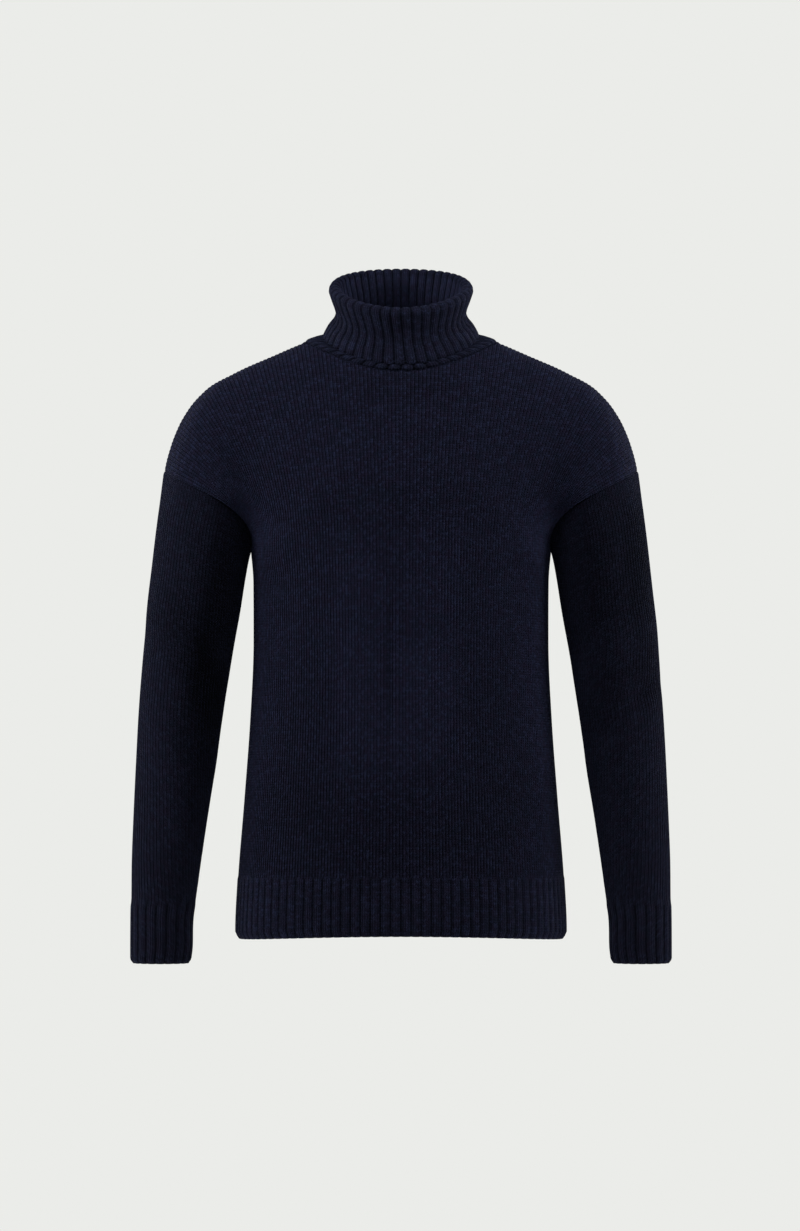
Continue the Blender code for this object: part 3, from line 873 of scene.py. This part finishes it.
@dataclass(kw_only=True)
class Knitted:
    """A piece with its knit face outside, its purl face inside, and one end that is ribbed and open.

    Its folds and its patches of painted light and shade are placed on one side. A piece for the right
    hand is worked out for the left and mirrored. The two lights of a span are the lightness painted on a
    valley and on a crest, painted shade that darkens the valleys.
    """

    name: str
    node: str
    finish: WoolKnit
    inside: WoolKnit
    side: Side
    slot: str
    cut: Cut
    closed: bool
    ribs: int
    rib_relief: float
    curl: float
    row_pitch: float
    seam_round: float
    fold_margin: float
    rib_light: Span
    plain_light: Span
    hand: Hand = Hand.LEFT
    folds: tuple[Patch, ...] = ()
    painted_light: tuple[Patch, ...] = ()
    painted_light_power: int = 4

    def normals(self, points: Array) -> Array:
        """Directions square to the piece's outer face."""
        return face_normals(points, self.closed) * (1 if self.closed else -self.side.value)

    def folded(self, points: Array, seams: Sequence[Array]) -> Array:
        """Raises the folds of a face, which end before its seams."""
        normals = self.normals(points)
        height = add_patches(points, normals, self.folds, self.side)
        for distance in seams:
            height = height * smooth_step(0.0, self.fold_margin, distance)
        return points + height[..., None] * normals

    def dress(
        self,
        points: Array,
        wale: Array,
        ribbed: Array,
        seams: Sequence[Array],
        from_end: Array,
        shift: Array,
        places: Array,
    ) -> tuple[Cloth, Cloth]:
        """Gives a face its ribs and wales, and makes the face behind it.

        Args:
            points: Points of the face.
            wale: Wale numbers.
            ribbed: 1 in ribbing and 0 in plain knit.
            seams: Distances from the seams, where ribs and wales sink.
            from_end: Distance from the open end.
            shift: How both faces are moved at the seams.
            places: One number for each column.

        Returns:
            The outer face, and the inner one, which has fewer rows and columns.
        """
        out, knit = self.normals(points), GAUGE.knit_at(points, wale, ribbed)
        rib, plain = GAUGE.rib_height(wale), GAUGE.wale_height(wale)
        curl = between((GAUGE.end_curl, 1.0), smooth_step(0.0, self.curl, from_end))
        relief = ribbed * curl * self.rib_relief * rib + (1 - ribbed) * GAUGE.wale_relief * plain
        for distance in seams:
            relief = relief * smooth_step(0.0, GAUGE.seam_margin, distance)
        for distance in (*seams, from_end):
            relief = relief - rounded_edge(distance, self.seam_round)
        # Painted shade: crown darkens the yarn's colour in the valleys between ribs and wales, and the
        # patches add painted light and shade.
        crown = ribbed * between(self.rib_light, rib) + (1 - ribbed) * between(self.plain_light, plain)
        crown = crown + add_patches(points, out, self.painted_light, self.side, self.painted_light_power)
        flip = np.array([self.hand.value, 1.0, 1.0])
        heights = np.arange(len(points), dtype=float)
        outer = Cloth((points + relief[..., None] * out + shift) * flip, knit, crown, places, heights)
        rows = np.unique(np.append(np.arange(0, len(points), GAUGE.back_rows), len(points) - 1))
        columns = np.arange(0, len(places), GAUGE.wale_points)
        keep = np.ix_(rows, columns)
        behind = ((points - GAUGE.wall * out + shift) * flip)[keep]
        crown = crown[keep] * GAUGE.back_crown
        return outer, Cloth(behind, knit[keep], crown, places[columns], heights[rows])

    def faces(self) -> tuple[Cloth, Cloth]:
        """Works out the knit face outside and the purl face inside."""
        raise NotImplementedError

    def build(self) -> Piece:
        outer, inner = self.faces()
        maker = MeshMaker()
        face = maker.add_cloth(outer, 0, closed=self.closed)
        back = maker.add_cloth(inner, 1, closed=self.closed)
        for end in (0, -1):
            maker.zip_lines(face[end], outer.places, back[end], inner.places)
            if not self.closed:
                maker.zip_lines(face[:, end], outer.heights, back[:, end], inner.heights)
        piece = maker.make(self.name, (self.finish, self.inside))
        declare(piece, self.node)
        return piece


@dataclass(kw_only=True)
class Panel(Knitted):
    """The front or the back, knitted in one from its ribbed hem up to the neck and the shoulders."""

    slot: str = "body_knit"
    cut: Cut = Cut(0.505, 0.655, 0.322)
    closed: bool = False
    ribs: int = 48
    rib_relief: float = 1.5
    rib_top_z: float = -579.0
    rib_fade: float = 5.0
    rib_rows: int = 8
    fade_rows: int = 4
    curl: float = 8.0
    curl_row: float = 3.5
    row_pitch: float = 6.2
    measured_rows: int = 41
    seam_round: float = 0.8
    fold_margin: float = 15.0
    rib_light: Span = (0.22, 0.9)
    plain_light: Span = (0.1, 1.0)

    def columns(self) -> tuple[Array, Array]:
        """Wale numbers of the columns, and their places from -1 to 1."""
        wales = GAUGE.columns(self.ribs)
        return wales, (wales - 0.5) / (self.ribs * GAUGE.wales_in_rib) * 2 - 1

    def levels(self) -> Array:
        """Heights of the rows below the underarm."""
        hem = FORM.hem_z + np.array([*GAUGE.edge_rows, self.curl_row, self.curl])
        fade_z = self.rib_top_z - self.rib_fade
        rib_low = np.linspace(FORM.hem_z + self.curl, fade_z, self.rib_rows)[1:]
        fade = np.linspace(fade_z, self.rib_top_z, self.fade_rows)[1:]
        count = round((FORM.underarm_z - self.rib_top_z) / self.row_pitch)
        plain = np.linspace(self.rib_top_z, FORM.underarm_z, count + 1)[1:]
        return np.concatenate([hem, rib_low, fade, plain])

    def base(self, u: Array, levels: Array) -> tuple[Array, Array]:
        """Finds the panel's face before it has ribs.

        Args:
            u: Places of the columns.
            levels: Heights of the rows below the underarm.

        Returns:
            Points, rows by columns by 3, and how far each lies from the upper edge along its wale.
        """
        low = FORM.torso_points(u, levels, self.side)
        stop = FORM.stop(u, self.side)
        coarse = np.linspace(0, 1, self.measured_rows)[:, None] * stop
        length = run_lengths(FORM.yoke_points(u, coarse, self.side))[-1]
        count = round(float(length.max()) / self.row_pitch)
        shares = np.arange(1, count)[:, None] / count * np.ones_like(u)
        near = 1 - np.array(GAUGE.edge_rows[::-1])[:, None] / length
        shares = np.concatenate([shares * near[0], near])
        high = FORM.yoke_points(u, shares * stop, self.side)
        from_top = np.concatenate([np.full((len(levels), len(u)), FAR), (1 - shares) * length])
        return np.concatenate([low, high]), from_top

    def faces(self) -> tuple[Cloth, Cloth]:
        """Works out the knit face outside and the purl face inside."""
        wales, u = self.columns()
        levels = self.levels()
        points, from_top = self.base(u, levels)
        from_side = (1 - np.abs(u)) * self.ribs * GAUGE.wales_in_rib / 2 * GAUGE.wale
        seams = (from_side, from_top)
        points = self.folded(points, seams)
        z = np.concatenate([levels, np.zeros(len(points) - len(levels))])[:, None]
        ribbed = 1 - smooth_step(self.rib_top_z - self.rib_fade, self.rib_top_z, z)
        shift = self.seam_shift(points, u)
        return self.dress(points, wales, ribbed, seams, z - FORM.hem_z, shift, wales)

    def seam_shift(self, points: Array, u: Array) -> Array:
        """Presses the panel's edges into the other panel's at the shoulder and side seams."""
        shift = np.zeros_like(points)
        lap = -self.side.value * GAUGE.seam_lap / 2
        shift[:, (0, -1), 1] = lap
        shift[-1, np.abs(u) > FORM.neck_share(), 1] = lap
        return shift


class SleeveRing(NamedTuple):
    """A section of a sleeve between the arm's outer and inner outline."""

    x_out: float
    z_out: float
    x_in: float
    z_in: float
    depth: float
    lean: float


@dataclass(kw_only=True)
class Sleeve(Knitted):
    """A drop-shoulder sleeve, knitted in one from its ribbed cuff up to the armhole."""

    side: Side = Side.FRONT
    slot: str = "sleeve_knit"
    cut: Cut = Cut(0.350, 0.535, 0.140)
    closed: bool = True
    ribs: int = 18
    rib_relief: float = 1.8
    curl: float = 6.0
    fullness: float = 2.05
    bow: float = 7.0
    bow_fade: float = 0.5
    column_count: int = 400
    row_pitch: float = 5.6
    seam_row: float = 0.02
    inner_rows: Span = (3.0, 4.5)
    seam_round: float = 0.7
    fold_margin: float = 20.0
    rib_light: Span = (0.0, 1.0)
    plain_light: Span = (0.25, 0.9)
    tuck: Span = (3.5, 3.0)
    rings: tuple[SleeveRing, ...] = (
        SleeveRing(264.8, -172.0, 168.0, -233.0, 57.0, 0.0),
        SleeveRing(269.3, -206.0, 172.2, -256.0, 56.0, 1.0),
        SleeveRing(273.8, -246.0, 177.5, -290.0, 54.5, 2.0),
        SleeveRing(278.8, -295.0, 184.0, -326.0, 52.0, 4.0),
        SleeveRing(283.3, -347.0, 190.8, -368.0, 49.0, 7.0),
        SleeveRing(287.3, -402.0, 198.0, -415.0, 46.0, 10.0),
        SleeveRing(290.3, -457.0, 204.5, -464.0, 42.5, 14.0),
        SleeveRing(292.8, -512.0, 212.8, -515.0, 39.0, 18.0),
        SleeveRing(294.6, -563.0, 220.0, -564.0, 35.5, 22.0),
        SleeveRing(295.0, -610.0, 226.5, -610.0, 31.0, 25.0),
        SleeveRing(295.2, -619.0, 228.0, -619.0, 29.5, 26.0),
        SleeveRing(295.4, -669.0, 231.0, -669.0, 27.5, 28.0),
        SleeveRing(292.8, -675.0, 233.4, -675.0, 25.5, 28.0),
    )
    fade_rings: Span = (8.85, 9.1)

    def ring_points(self, ring: SleeveRing, turn: Array, bow: float) -> Array:
        """Points of a ring, turn 0 on the arm's outside and a quarter in front."""
        angle = 2 * math.pi * turn
        power = 2 / self.fullness
        across = np.copysign(np.abs(np.cos(angle)) ** power, np.cos(angle))
        forward = np.copysign(np.abs(np.sin(angle)) ** power, np.sin(angle))
        x = (ring.x_out + ring.x_in) / 2 + across * (ring.x_out - ring.x_in) / 2
        z = (ring.z_out + ring.z_in) / 2 + across * (ring.z_out - ring.z_in) / 2
        bowed = (bow * np.sin(angle) ** 2)[:, None] * FORM.chord()[3]
        return np.stack([x, -ring.lean - forward * ring.depth, z], axis=-1) + bowed

    def at_armhole(self, turn: Array, read: Callable[[Array, Side], Array]) -> Array:
        """Reads the armhole of the front for columns in front, and that of the back for the rest."""
        share = 1 - 2 * np.abs(turn)
        return np.where((turn >= 0)[:, None], read(share, Side.FRONT), read(share, Side.BACK))

    def base(self, turn: Array) -> tuple[Array, Array, Array]:
        """Finds the sleeve's face before it has ribs.

        Args:
            turn: Places of the columns, from -0.5 to 0.5.

        Returns:
            Points, rows by columns by 3, how far each row lies from the armhole, and where in the
            table of rings each row is.
        """
        keys = [self.at_armhole(turn, FORM.armhole)]
        for i, ring in enumerate(self.rings):
            keys.append(self.ring_points(ring, turn, self.bow * self.bow_fade**i))
        stack = np.array(keys)
        run = run_lengths(stack).mean(axis=1)
        count = round((run[-2] - run[0]) / self.row_pitch)
        low, high = self.inner_rows
        near_seam, near_end = [*GAUGE.edge_rows, self.seam_row], [*GAUGE.edge_rows, low, high]
        at = [near_seam, np.linspace(low, run[-2], count), run[-1] - np.array(near_end)]
        at = np.unique(np.round(np.concatenate(at), 3))
        return smooth_curve(run, stack, at, held=True), at, np.interp(at, run, np.arange(len(run)) - 1)

    def faces(self) -> tuple[Cloth, Cloth]:
        """Works out the knit face outside and the purl face inside."""
        turn = np.linspace(-0.5, 0.5, self.column_count + 1)
        points, run, place = self.base(turn)
        from_top, from_end = run[:, None], (run[-1] - run)[:, None]
        points = self.folded(points, (from_top,))
        around = run_lengths(points, axis=1)
        middle = around[:, self.column_count // 2, None]
        wales_round = self.ribs * GAUGE.wales_in_rib
        ribbed = smooth_step(*self.fade_rings, place)[:, None]
        girth, fade = around[:, -1:], self.fade_rings[0]
        plain_width = float(np.interp(fade, place, girth[:, 0])) / wales_round
        width = np.where(place[:, None] > fade, girth / wales_round, plain_width)
        wale = (around - middle) / width + 0.5
        under, behind = self.tuck
        square = self.at_armhole(turn, FORM.armhole_normals) + self.normals(points)[0]
        shift = np.zeros_like(points)
        shift[0] = FORM.chord()[3] * behind - unit(square) * under
        shift[1] = -FORM.chord()[3] * GAUGE.seam_gap / 2
        return self.dress(points, wale, ribbed, (from_top,), from_end, shift, turn)


class CollarRing(NamedTuple):
    """A ring of the middle line between the collar's two layers, and the gap between them."""

    half_width: float
    front: float
    back: float
    z_side: float
    z_front: float
    z_back: float
    gap: float


@dataclass
class Collar:
    """The ribbed collar: one tube, folded over outwards at its top."""

    name: str
    node: str
    finish: WoolKnit
    slot: str = "collar_rib"
    ribs: int = 44
    wall: float = 3.2
    relief: float = 1.6
    band_relief: float = 2.0
    band_bulge: float = 1.6
    scallop: float = 1.3
    inner_painted_light: float = 1.1
    lean: float = 0.06
    edge_gap: float = 0.5
    edge_wall: float = 2.0
    edge_rise: float = 1.5
    edge_share: float = 0.8
    edge_depth: float = 0.9
    edge_turns: tuple[float, ...] = (80, 55, 30, 10)
    under_turns: tuple[float, ...] = (170, 145, 115)
    outer_rows: int = 26
    fold_rows: int = 13
    inner_rows: int = 20
    inner_end: float = 1.8
    neck_rows: tuple[float, ...] = (1.15, 0.5)
    row_step: float = 0.02
    valley_crown: float = 0.3
    hidden_rows: tuple[float, ...] = (2.5, 4.0, 5.5)
    band_rows: tuple[float, ...] = (0.1, 0.2, 0.35, 0.5, 0.65, 0.8)
    band_shares: tuple[float, ...] = (0.7, 1.0, 1.0, 1.0, 0.9, 0.5)
    cut: Cut = Cut(0.445, 0.157, 0.067)
    rings: tuple[CollarRing, ...] = (
        CollarRing(82.8, 72.5, 56.0, 12.5, -18.5, 22.0, 1.4),
        CollarRing(76.9, 71.0, 53.5, 20.7, -9.5, 30.0, 1.4),
        CollarRing(69.9, 69.5, 50.5, 28.6, -0.5, 40.0, 1.5),
        CollarRing(66.5, 69.5, 48.5, 37.0, 9.0, 51.0, 1.7),
        CollarRing(67.2, 71.5, 48.0, 45.0, 18.0, 62.0, 2.2),
        CollarRing(70.0, 75.0, 48.0, 54.5, 26.5, 73.0, 3.4),
        CollarRing(72.6, 79.0, 50.0, 64.0, 35.0, 83.0, 4.6),
    )

    def line(self, row: float, angle: Array) -> Array:
        """The middle line of the two layers, row 0 at the neck seam and the last row at the fold."""
        if row < 1:
            seam, edge = FORM.neck_edge(angle), self.line(1.0, angle)
            normals = FORM.neck_normals(angle)
            swell = unit(np.cross(edge - seam, np.cross(normals, edge - seam)))
            bulge = BULGE_PEAK * row * (1 - row) ** 2 * self.band_bulge
            return seam + row * (edge - seam) + bulge * swell
        table = np.array([tuple(ring) for ring in self.rings])
        ring = smooth_curve(np.arange(1, len(table) + 1, dtype=float), table, np.array([row]))[0]
        half_width, front, back, z_side, z_front, z_back, _ = ring
        c = np.cos(angle)
        tilt, dip = (z_front - z_back) / 2, (z_front + z_back) / 2 - z_side
        x, y = half_width * np.sin(angle), -np.where(c > 0, front, back) * c
        return np.stack([x, y, z_side + tilt * c + dip * c * c], axis=-1)

    def frame_at(self, row: float, angle: Array) -> tuple[Array, Array, Array, float]:
        """The middle line, the outward and the upward direction, and the gap between the layers."""
        top = float(len(self.rings))
        above, below = min(row + self.row_step, top), max(row - self.row_step, 0.0)
        up = unit(self.line(above, angle) - self.line(below, angle))
        around = self.line(row, angle + TINY_STEP) - self.line(row, angle - TINY_STEP)
        gaps = [0.0, self.edge_gap] + [ring.gap for ring in self.rings[1:]]
        gap = float(np.interp(row, np.arange(len(self.rings) + 1), gaps))
        return self.line(row, angle), unit(np.cross(around, up)), up, gap

    def rows(self, places: Array) -> tuple[Array, Array]:
        """Works out the rings of the wall in order round its section.

        Args:
            places: Places round the neck, from 0 to 1.

        Returns:
            Points, rings by places by 3, and how strongly each ring is ribbed.
        """
        angle = 2 * math.pi * places
        rib = GAUGE.rib_height(places * self.ribs * GAUGE.wales_in_rib + 0.5)[:, None]
        top, low = float(len(self.rings)), 1.0
        made: list[tuple[Array, float]] = []

        def layer(row: float, which: int, depth: float, share: float, light: float = 0.0) -> None:
            """Adds a ring on one of the two layers, depth 0 between them and 1 on the face that shows."""
            turned, wall = angle, self.wall
            if which > 0:
                turned = angle + self.lean * (top - row) / (top - low)
                rise = (low, low + self.edge_rise)
                wall = float(np.interp(row, rise, (self.edge_wall, self.wall)))
            point, out, _, gap = self.frame_at(row, turned)
            reach = gap / 2 + depth * (wall + self.relief * share * rib)
            made.append((point + which * reach * out, share + light))

        def free_edge(turn: float) -> None:
            """Adds a ring of the rounded edge below the layer that is folded down."""
            point, out, up, gap = self.frame_at(low, angle + self.lean)
            half = (self.edge_wall + self.relief * self.edge_share * rib) / 2
            drop = (self.edge_depth * half + self.scallop * rib) * math.sin(turn)
            reach = gap / 2 + half + half * math.cos(turn)
            made.append((point + reach * out - drop * up, self.edge_share))

        for turn in np.radians(self.edge_turns):
            free_edge(turn)
        for row in np.linspace(low + 0.06, top, self.outer_rows):
            layer(row, 1, 1.0, 1.0)
        for turn in np.radians(np.linspace(0, 180, self.fold_rows)[1:-1]):
            point, out, up, gap = self.frame_at(top, angle)
            reach = gap / 2 + self.wall + self.relief * rib
            made.append((point + reach * (math.cos(turn) * out + math.sin(turn) * up), 1.0))
        for row in np.linspace(top, self.inner_end, self.inner_rows):
            # Painted light: the inside is painted lighter just below the fold.
            layer(row, -1, 1.0, 1.0, self.inner_painted_light * float(smooth_step(top, top - 0.5, row)))
        for row in self.neck_rows:
            layer(row, -1, 1.0, 0.0)
        seam, normals = FORM.neck_edge(angle), FORM.neck_normals(angle)
        toward = -unit(np.cross(FORM.neck_run(angle), normals))
        for depth in (1.0, 0.5, 0.0):
            made.append((seam - toward * GAUGE.seam_lap - depth * GAUGE.wall * normals, 0.0))
        for row, share in zip(self.band_rows, self.band_shares):
            point, out, _, gap = self.frame_at(row, angle)
            made.append((point + (self.band_relief * share * rib - gap / 2) * out, share))
        for row in (low, *self.hidden_rows, top):
            layer(row, -1, 0.0, 0.0)
        point, _, up, gap = self.frame_at(top, angle)
        made.append((point + gap / 2 * up, 0.0))
        for row in (top, *self.hidden_rows[::-1], low + 0.1):
            layer(row, 1, 0.0, 0.0)
        for turn in np.radians(self.under_turns):
            free_edge(turn)
        points, shares = zip(*made, made[0])
        return np.array(points), np.array(shares)

    def build(self) -> Piece:
        wales = GAUGE.columns(self.ribs)
        places = (wales - 0.5) / (self.ribs * GAUGE.wales_in_rib)
        points, shares = self.rows(places)
        bare = np.clip(1 - shares[:, None], 0.0, 1.0)
        # Painted shade: the yarn's colour darkens in the ribs' valleys, and rings that aren't ribbed get
        # the valley's lightness.
        crown = shares[:, None] * GAUGE.rib_height(wales) + bare * self.valley_crown
        knit = GAUGE.knit_at(points, wales, 1.0)
        cloth = Cloth(points, knit, crown, places, np.arange(len(points), dtype=float))
        maker = MeshMaker()
        maker.add_cloth(cloth, 0, closed=True, ring=True)
        piece = maker.make(self.name, (self.finish,))
        declare(piece, self.node)
        return piece


@dataclass
class LinkedSeam:
    """The chain of yarn loops that links the collar to the body."""

    name: str
    finish: WoolKnit
    slot: str = "collar_rib"
    loops: int = 120
    reach: float = 1.35
    width: float = 2.4
    yarn: float = 0.6
    proud: float = 0.2
    dip: float = 0.5
    taper: float = 0.35
    yarn_wales: float = 0.3
    crown: float = 0.8
    around: int = 12
    sides: int = 6

    def build(self) -> Piece:
        """Builds the chain along the neck seam."""
        angle = 2 * math.pi * (np.arange(self.loops) + 0.5) / self.loops
        centre, normal = FORM.neck_edge(angle), FORM.neck_normals(angle)
        along = unit(FORM.neck_run(angle))
        seam = FORM.neck_edge(2 * math.pi * np.arange(self.loops + 1) / self.loops)
        pitch = np.linalg.norm(np.diff(seam, axis=0), axis=-1)
        away = unit(np.cross(along, normal))
        maker = MeshMaker()
        turn = np.linspace(0, 2 * math.pi, self.around + 1)
        tube = np.linspace(0, 2 * math.pi, self.sides + 1)
        for k in range(self.loops):
            reach = pitch[k] * self.reach / 2
            breadth = self.width / 2 * np.sin(turn) * (1 + self.taper * np.cos(turn))
            line = (
                centre[k]
                + np.outer(reach * np.cos(turn), along[k])
                + np.outer(breadth, away[k])
                + np.outer(self.proud + self.dip * np.cos(turn), normal[k])
            )
            run = unit(np.gradient(np.concatenate([line[-2:-1], line, line[1:2]]), axis=0)[1:-1])
            side = unit(np.cross(run, normal[k]))
            top = np.cross(side, run)
            ring = np.cos(tube)[:, None, None] * side + np.sin(tube)[:, None, None] * top
            points = line + self.yarn * ring
            knit = np.stack(np.meshgrid(turn, tube * self.yarn_wales + k), axis=-1)
            crown = np.full(points.shape[:2], self.crown)
            maker.add_cloth(Cloth(points, knit, crown, turn, tube), 0, closed=True, ring=True)
        piece = maker.make(self.name, (self.finish,))
        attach(piece, BODY)
        return piece


# ---- studio


@dataclass(frozen=True)
class Lamp:
    """A square soft box that faces the sweater."""

    name: str
    place: tuple[float, float, float]
    size: float
    power: float
    colour: str = "#ffffff"


@dataclass
class Studio:
    """The camera, the pale surroundings, the floor and the soft lamps."""

    backdrop: str = "#ebece9"
    distance: float = 8.0
    frame_height: float = 1.354
    sensor: float = 36.0
    aim: tuple[float, float, float] = (-0.0011, 0.0, -0.294)
    floor_z: float = -1.2
    floor_radius: float = 1.9
    floor_corners: int = 64
    surround: float = 0.015
    lamps: tuple[Lamp, ...] = (
        Lamp("left_box", (-2.98, -0.85, 0.7), 1.1, 60.0),
        Lamp("left_fill_box", (-2.3, -2.07, 0.7), 1.1, 8.0),
        Lamp("right_box", (3.04, -0.6, 0.7), 1.1, 60.0),
        Lamp("top_box", (0.0, -1.1, 2.1), 1.2, 27.0),
        Lamp("back_left_box", (-2.2, 2.2, 0.7), 1.1, 30.0),
        Lamp("back_right_box", (2.2, 2.2, 0.7), 1.1, 30.0),
    )

    def add_camera(self) -> None:
        """Adds the camera, level with the sweater's middle."""
        data = bpy.data.cameras.new("camera")
        data.sensor_width = self.sensor
        data.lens = self.sensor * self.distance / self.frame_height
        data.clip_end = 100.0
        camera = add_object("camera", data)
        camera.location = (self.aim[0], self.aim[1] - self.distance, self.aim[2])
        camera.rotation_euler = (math.pi / 2, 0.0, 0.0)
        bpy.context.scene.camera = camera

    def add_lamps(self) -> None:
        """Adds the soft boxes."""
        for lamp in self.lamps:
            data = bpy.data.lights.new(lamp.name, "AREA")
            data.shape = "SQUARE"
            data.size = lamp.size
            data.energy = lamp.power
            data.color = linear(lamp.colour)[:3]
            box = add_object(lamp.name, data)
            box.location = lamp.place
            x, y, z = np.array(lamp.place) - np.array(self.aim)
            tilt, turn = math.atan2(float(np.hypot(x, y)), z), math.atan2(y, x) + math.pi / 2
            box.rotation_euler = (tilt, 0.0, turn)

    def add_world(self) -> None:
        """Surrounds everything with a pale backdrop, which lights the wool less than it shows."""
        world = bpy.data.worlds.new("studio")
        world.use_nodes = True
        tree = world.node_tree
        shown = tree.nodes["Background"]
        set_inputs(tree, shown, {"Color": linear(self.backdrop)})
        glow = add_node(tree, "Background", {0: linear(self.backdrop), 1: self.surround})
        seen = add_node(tree, "LightPath", {}).node.outputs["Is Camera Ray"]
        both = add_node(tree, "MixShader", {0: seen, 1: glow, 2: shown.outputs[0]})
        set_inputs(tree, tree.nodes["World Output"], {"Surface": both})
        bpy.context.scene.world = world
        bpy.context.scene.view_settings.view_transform = "Standard"

    def add_floor(self) -> None:
        """Adds the plain pale floor, below what the camera sees."""
        mesh = bpy.data.meshes.new("floor")
        ring = [2 * math.pi * i / self.floor_corners for i in range(self.floor_corners)]
        flat = [(self.floor_radius * math.cos(turn), self.floor_radius * math.sin(turn)) for turn in ring]
        mesh.from_pydata([(x, y, self.floor_z) for x, y in flat], [], [list(range(len(ring)))])
        material = bpy.data.materials.new("studio_paint")
        material.use_nodes = True
        tree = material.node_tree
        paint = {"Base Color": linear(self.backdrop), "Roughness": 0.9}
        set_inputs(tree, tree.nodes["Principled BSDF"], paint)
        mesh.materials.append(material)
        floor = add_object("floor", mesh)

    def build(self) -> None:
        """Sets up the whole studio."""
        self.add_camera()
        self.add_lamps()
        self.add_world()
        self.add_floor()


# ---- the sweater


def pair(patch: Patch) -> tuple[Patch, Patch]:
    """A patch and its mirror image on the sweater's other half."""
    return patch, patch._replace(x=-patch.x, tilt=-patch.tilt)


# Folds of worn cloth, and patches of painted light and shade: darker on the lower front, a painted
# shadow under the collar, lighter armpits and belly, darker edges of the sleeves. Those of both sleeves
# are placed on the left arm, and the right sleeve is mirrored as a whole when it is built.
FRONT_FOLDS = (
    Patch(-45, -275, 90, 50, 36, 2.4),
    Patch(-42, -370, 90, 52, 34, 2.4),
    Patch(38, -275, 90, 50, 36, 1.8),
    Patch(36, -375, 80, 62, 36, 2.8),
    Patch(-12, -345, 90, 105, 6, -2),
    Patch(10, -322, 20, 40, 10, -1),
    *pair(Patch(-120, -205, 55, 70, 14, 2)),
)
FRONT_PAINTED_LIGHT = (
    Patch(-44, -332, 90, 122, 30, 0.34),
    Patch(31, -290, 90, 85, 36, 0.26),
    Patch(24, -395, 78, 60, 34, 0.34),
    Patch(0, -178, 0, 105, 26, -0.12),
    Patch(-104, -440, 80, 85, 32, -0.2),
    Patch(102, -415, 100, 100, 34, -0.2),
    # Painted shade: the lower front darker.
    Patch(0, -580, 0, 190, 110, -0.38),
    # Painted shadow under the collar.
    Patch(0, -46, 0, 58, 14, -0.2),
    Patch(0, -42, 0, 110, 44, -0.08),
    # Painted light: the armpits lighter.
    *pair(Patch(-174, -184, -47, 46, 22, 0.8)),
)
BACK_FOLDS = (
    Patch(-30, -410, 84, 110, 22, -2),
    Patch(45, -430, 96, 120, 24, 2.4),
    *pair(Patch(-105, -200, 58, 80, 16, 2.4)),
    Patch(0, -130, 2, 90, 26, -1.8),
)
LEFT_SLEEVE_FOLDS = (
    Patch(258, -318, 42, 42, 26, 3),
    Patch(245, -402, 42, 52, 9, -3.2),
    Patch(262, -378, 20, 20, 7, -1.8),
    Patch(215, -300, 60, 60, 12, -2),
    Patch(262, -470, 80, 60, 20, 2),
)
LEFT_SLEEVE_PAINTED_LIGHT = (
    Patch(232, -235, 80, 90, 48, -0.34),
    Patch(256, -322, 42, 34, 18, 0.22),
    Patch(228, -375, 62, 55, 24, -0.24),
    # Painted shade along the sleeve's outer edge.
    Patch(274, -380, 30, 18, 8, -0.3),
    Patch(266, -285, 95, 120, 16, -0.5),
)
RIGHT_SLEEVE_FOLDS = (
    Patch(240, -345, 40, 48, 12, -2.8),
    Patch(262, -300, 60, 60, 20, 2.2),
    Patch(262, -430, 80, 70, 20, 2.4),
    Patch(225, -455, 60, 50, 12, -1.6),
)
RIGHT_SLEEVE_PAINTED_LIGHT = (
    Patch(222, -345, 60, 90, 26, -0.34),
    Patch(262, -460, 85, 90, 24, 0.14),
    # Painted shade: the sleeve's inner side darker.
    Patch(196, -310, 100, 130, 27, -0.8),
    Patch(209, -450, 100, 90, 18, -0.5),
)


def main() -> None:
    """Builds the sweater and its studio."""
    logging.basicConfig(level=logging.INFO, format="%(name)s: %(message)s")
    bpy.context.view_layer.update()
    Studio().build()
    body = WoolKnit("body_knit_wool", "#111422", "#151322", "#191d30")
    # Painted shade: the sleeves' yarn is a darker copy of the body's, standing for the shade on the
    # sleeves.
    sleeve = WoolKnit("sleeve_knit_wool_painted_shade", "#0d101b", "#110f1b", "#141725")
    rib = WoolKnit("collar_rib_wool", "#111421", "#141321", "#191d2f")
    body_back = WoolKnit("body_purl_wool", "#0f121d", "#12111d", "#171a2a", stitch=Stitch.PURL)
    # Painted shade: a darker copy of the body's purl yarn, as for the sleeves' knit face.
    sleeve_back = WoolKnit("sleeve_purl_wool_painted_shade", "#0c0e17", "#0f0e18", "#131522", stitch=Stitch.PURL)
    panel = {"finish": body, "inside": body_back}
    front = {"side": Side.FRONT, "folds": FRONT_FOLDS, "painted_light": FRONT_PAINTED_LIGHT, **panel}
    arm = {"finish": sleeve, "inside": sleeve_back}
    left = {"hand": Hand.LEFT, "folds": LEFT_SLEEVE_FOLDS, "painted_light": LEFT_SLEEVE_PAINTED_LIGHT, **arm}
    right = {"hand": Hand.RIGHT, "folds": RIGHT_SLEEVE_FOLDS, "painted_light": RIGHT_SLEEVE_PAINTED_LIGHT, **arm}
    pieces = (
        Panel(name="front_knit", node="front_panel", **front),
        Panel(name="back_knit", node="back_panel", side=Side.BACK, folds=BACK_FOLDS, **panel),
        Sleeve(name="sleeve_knit_left", node="sleeve_left", **left),
        Sleeve(name="sleeve_knit_right", node="sleeve_right", **right),
        Collar("collar_ribbing", "collar", rib),
        LinkedSeam("neck_linking", rib),
    )
    for piece in pieces:
        made = piece.build()
        log.info("built %s", made.name)


if __name__ == "__main__":
    main()
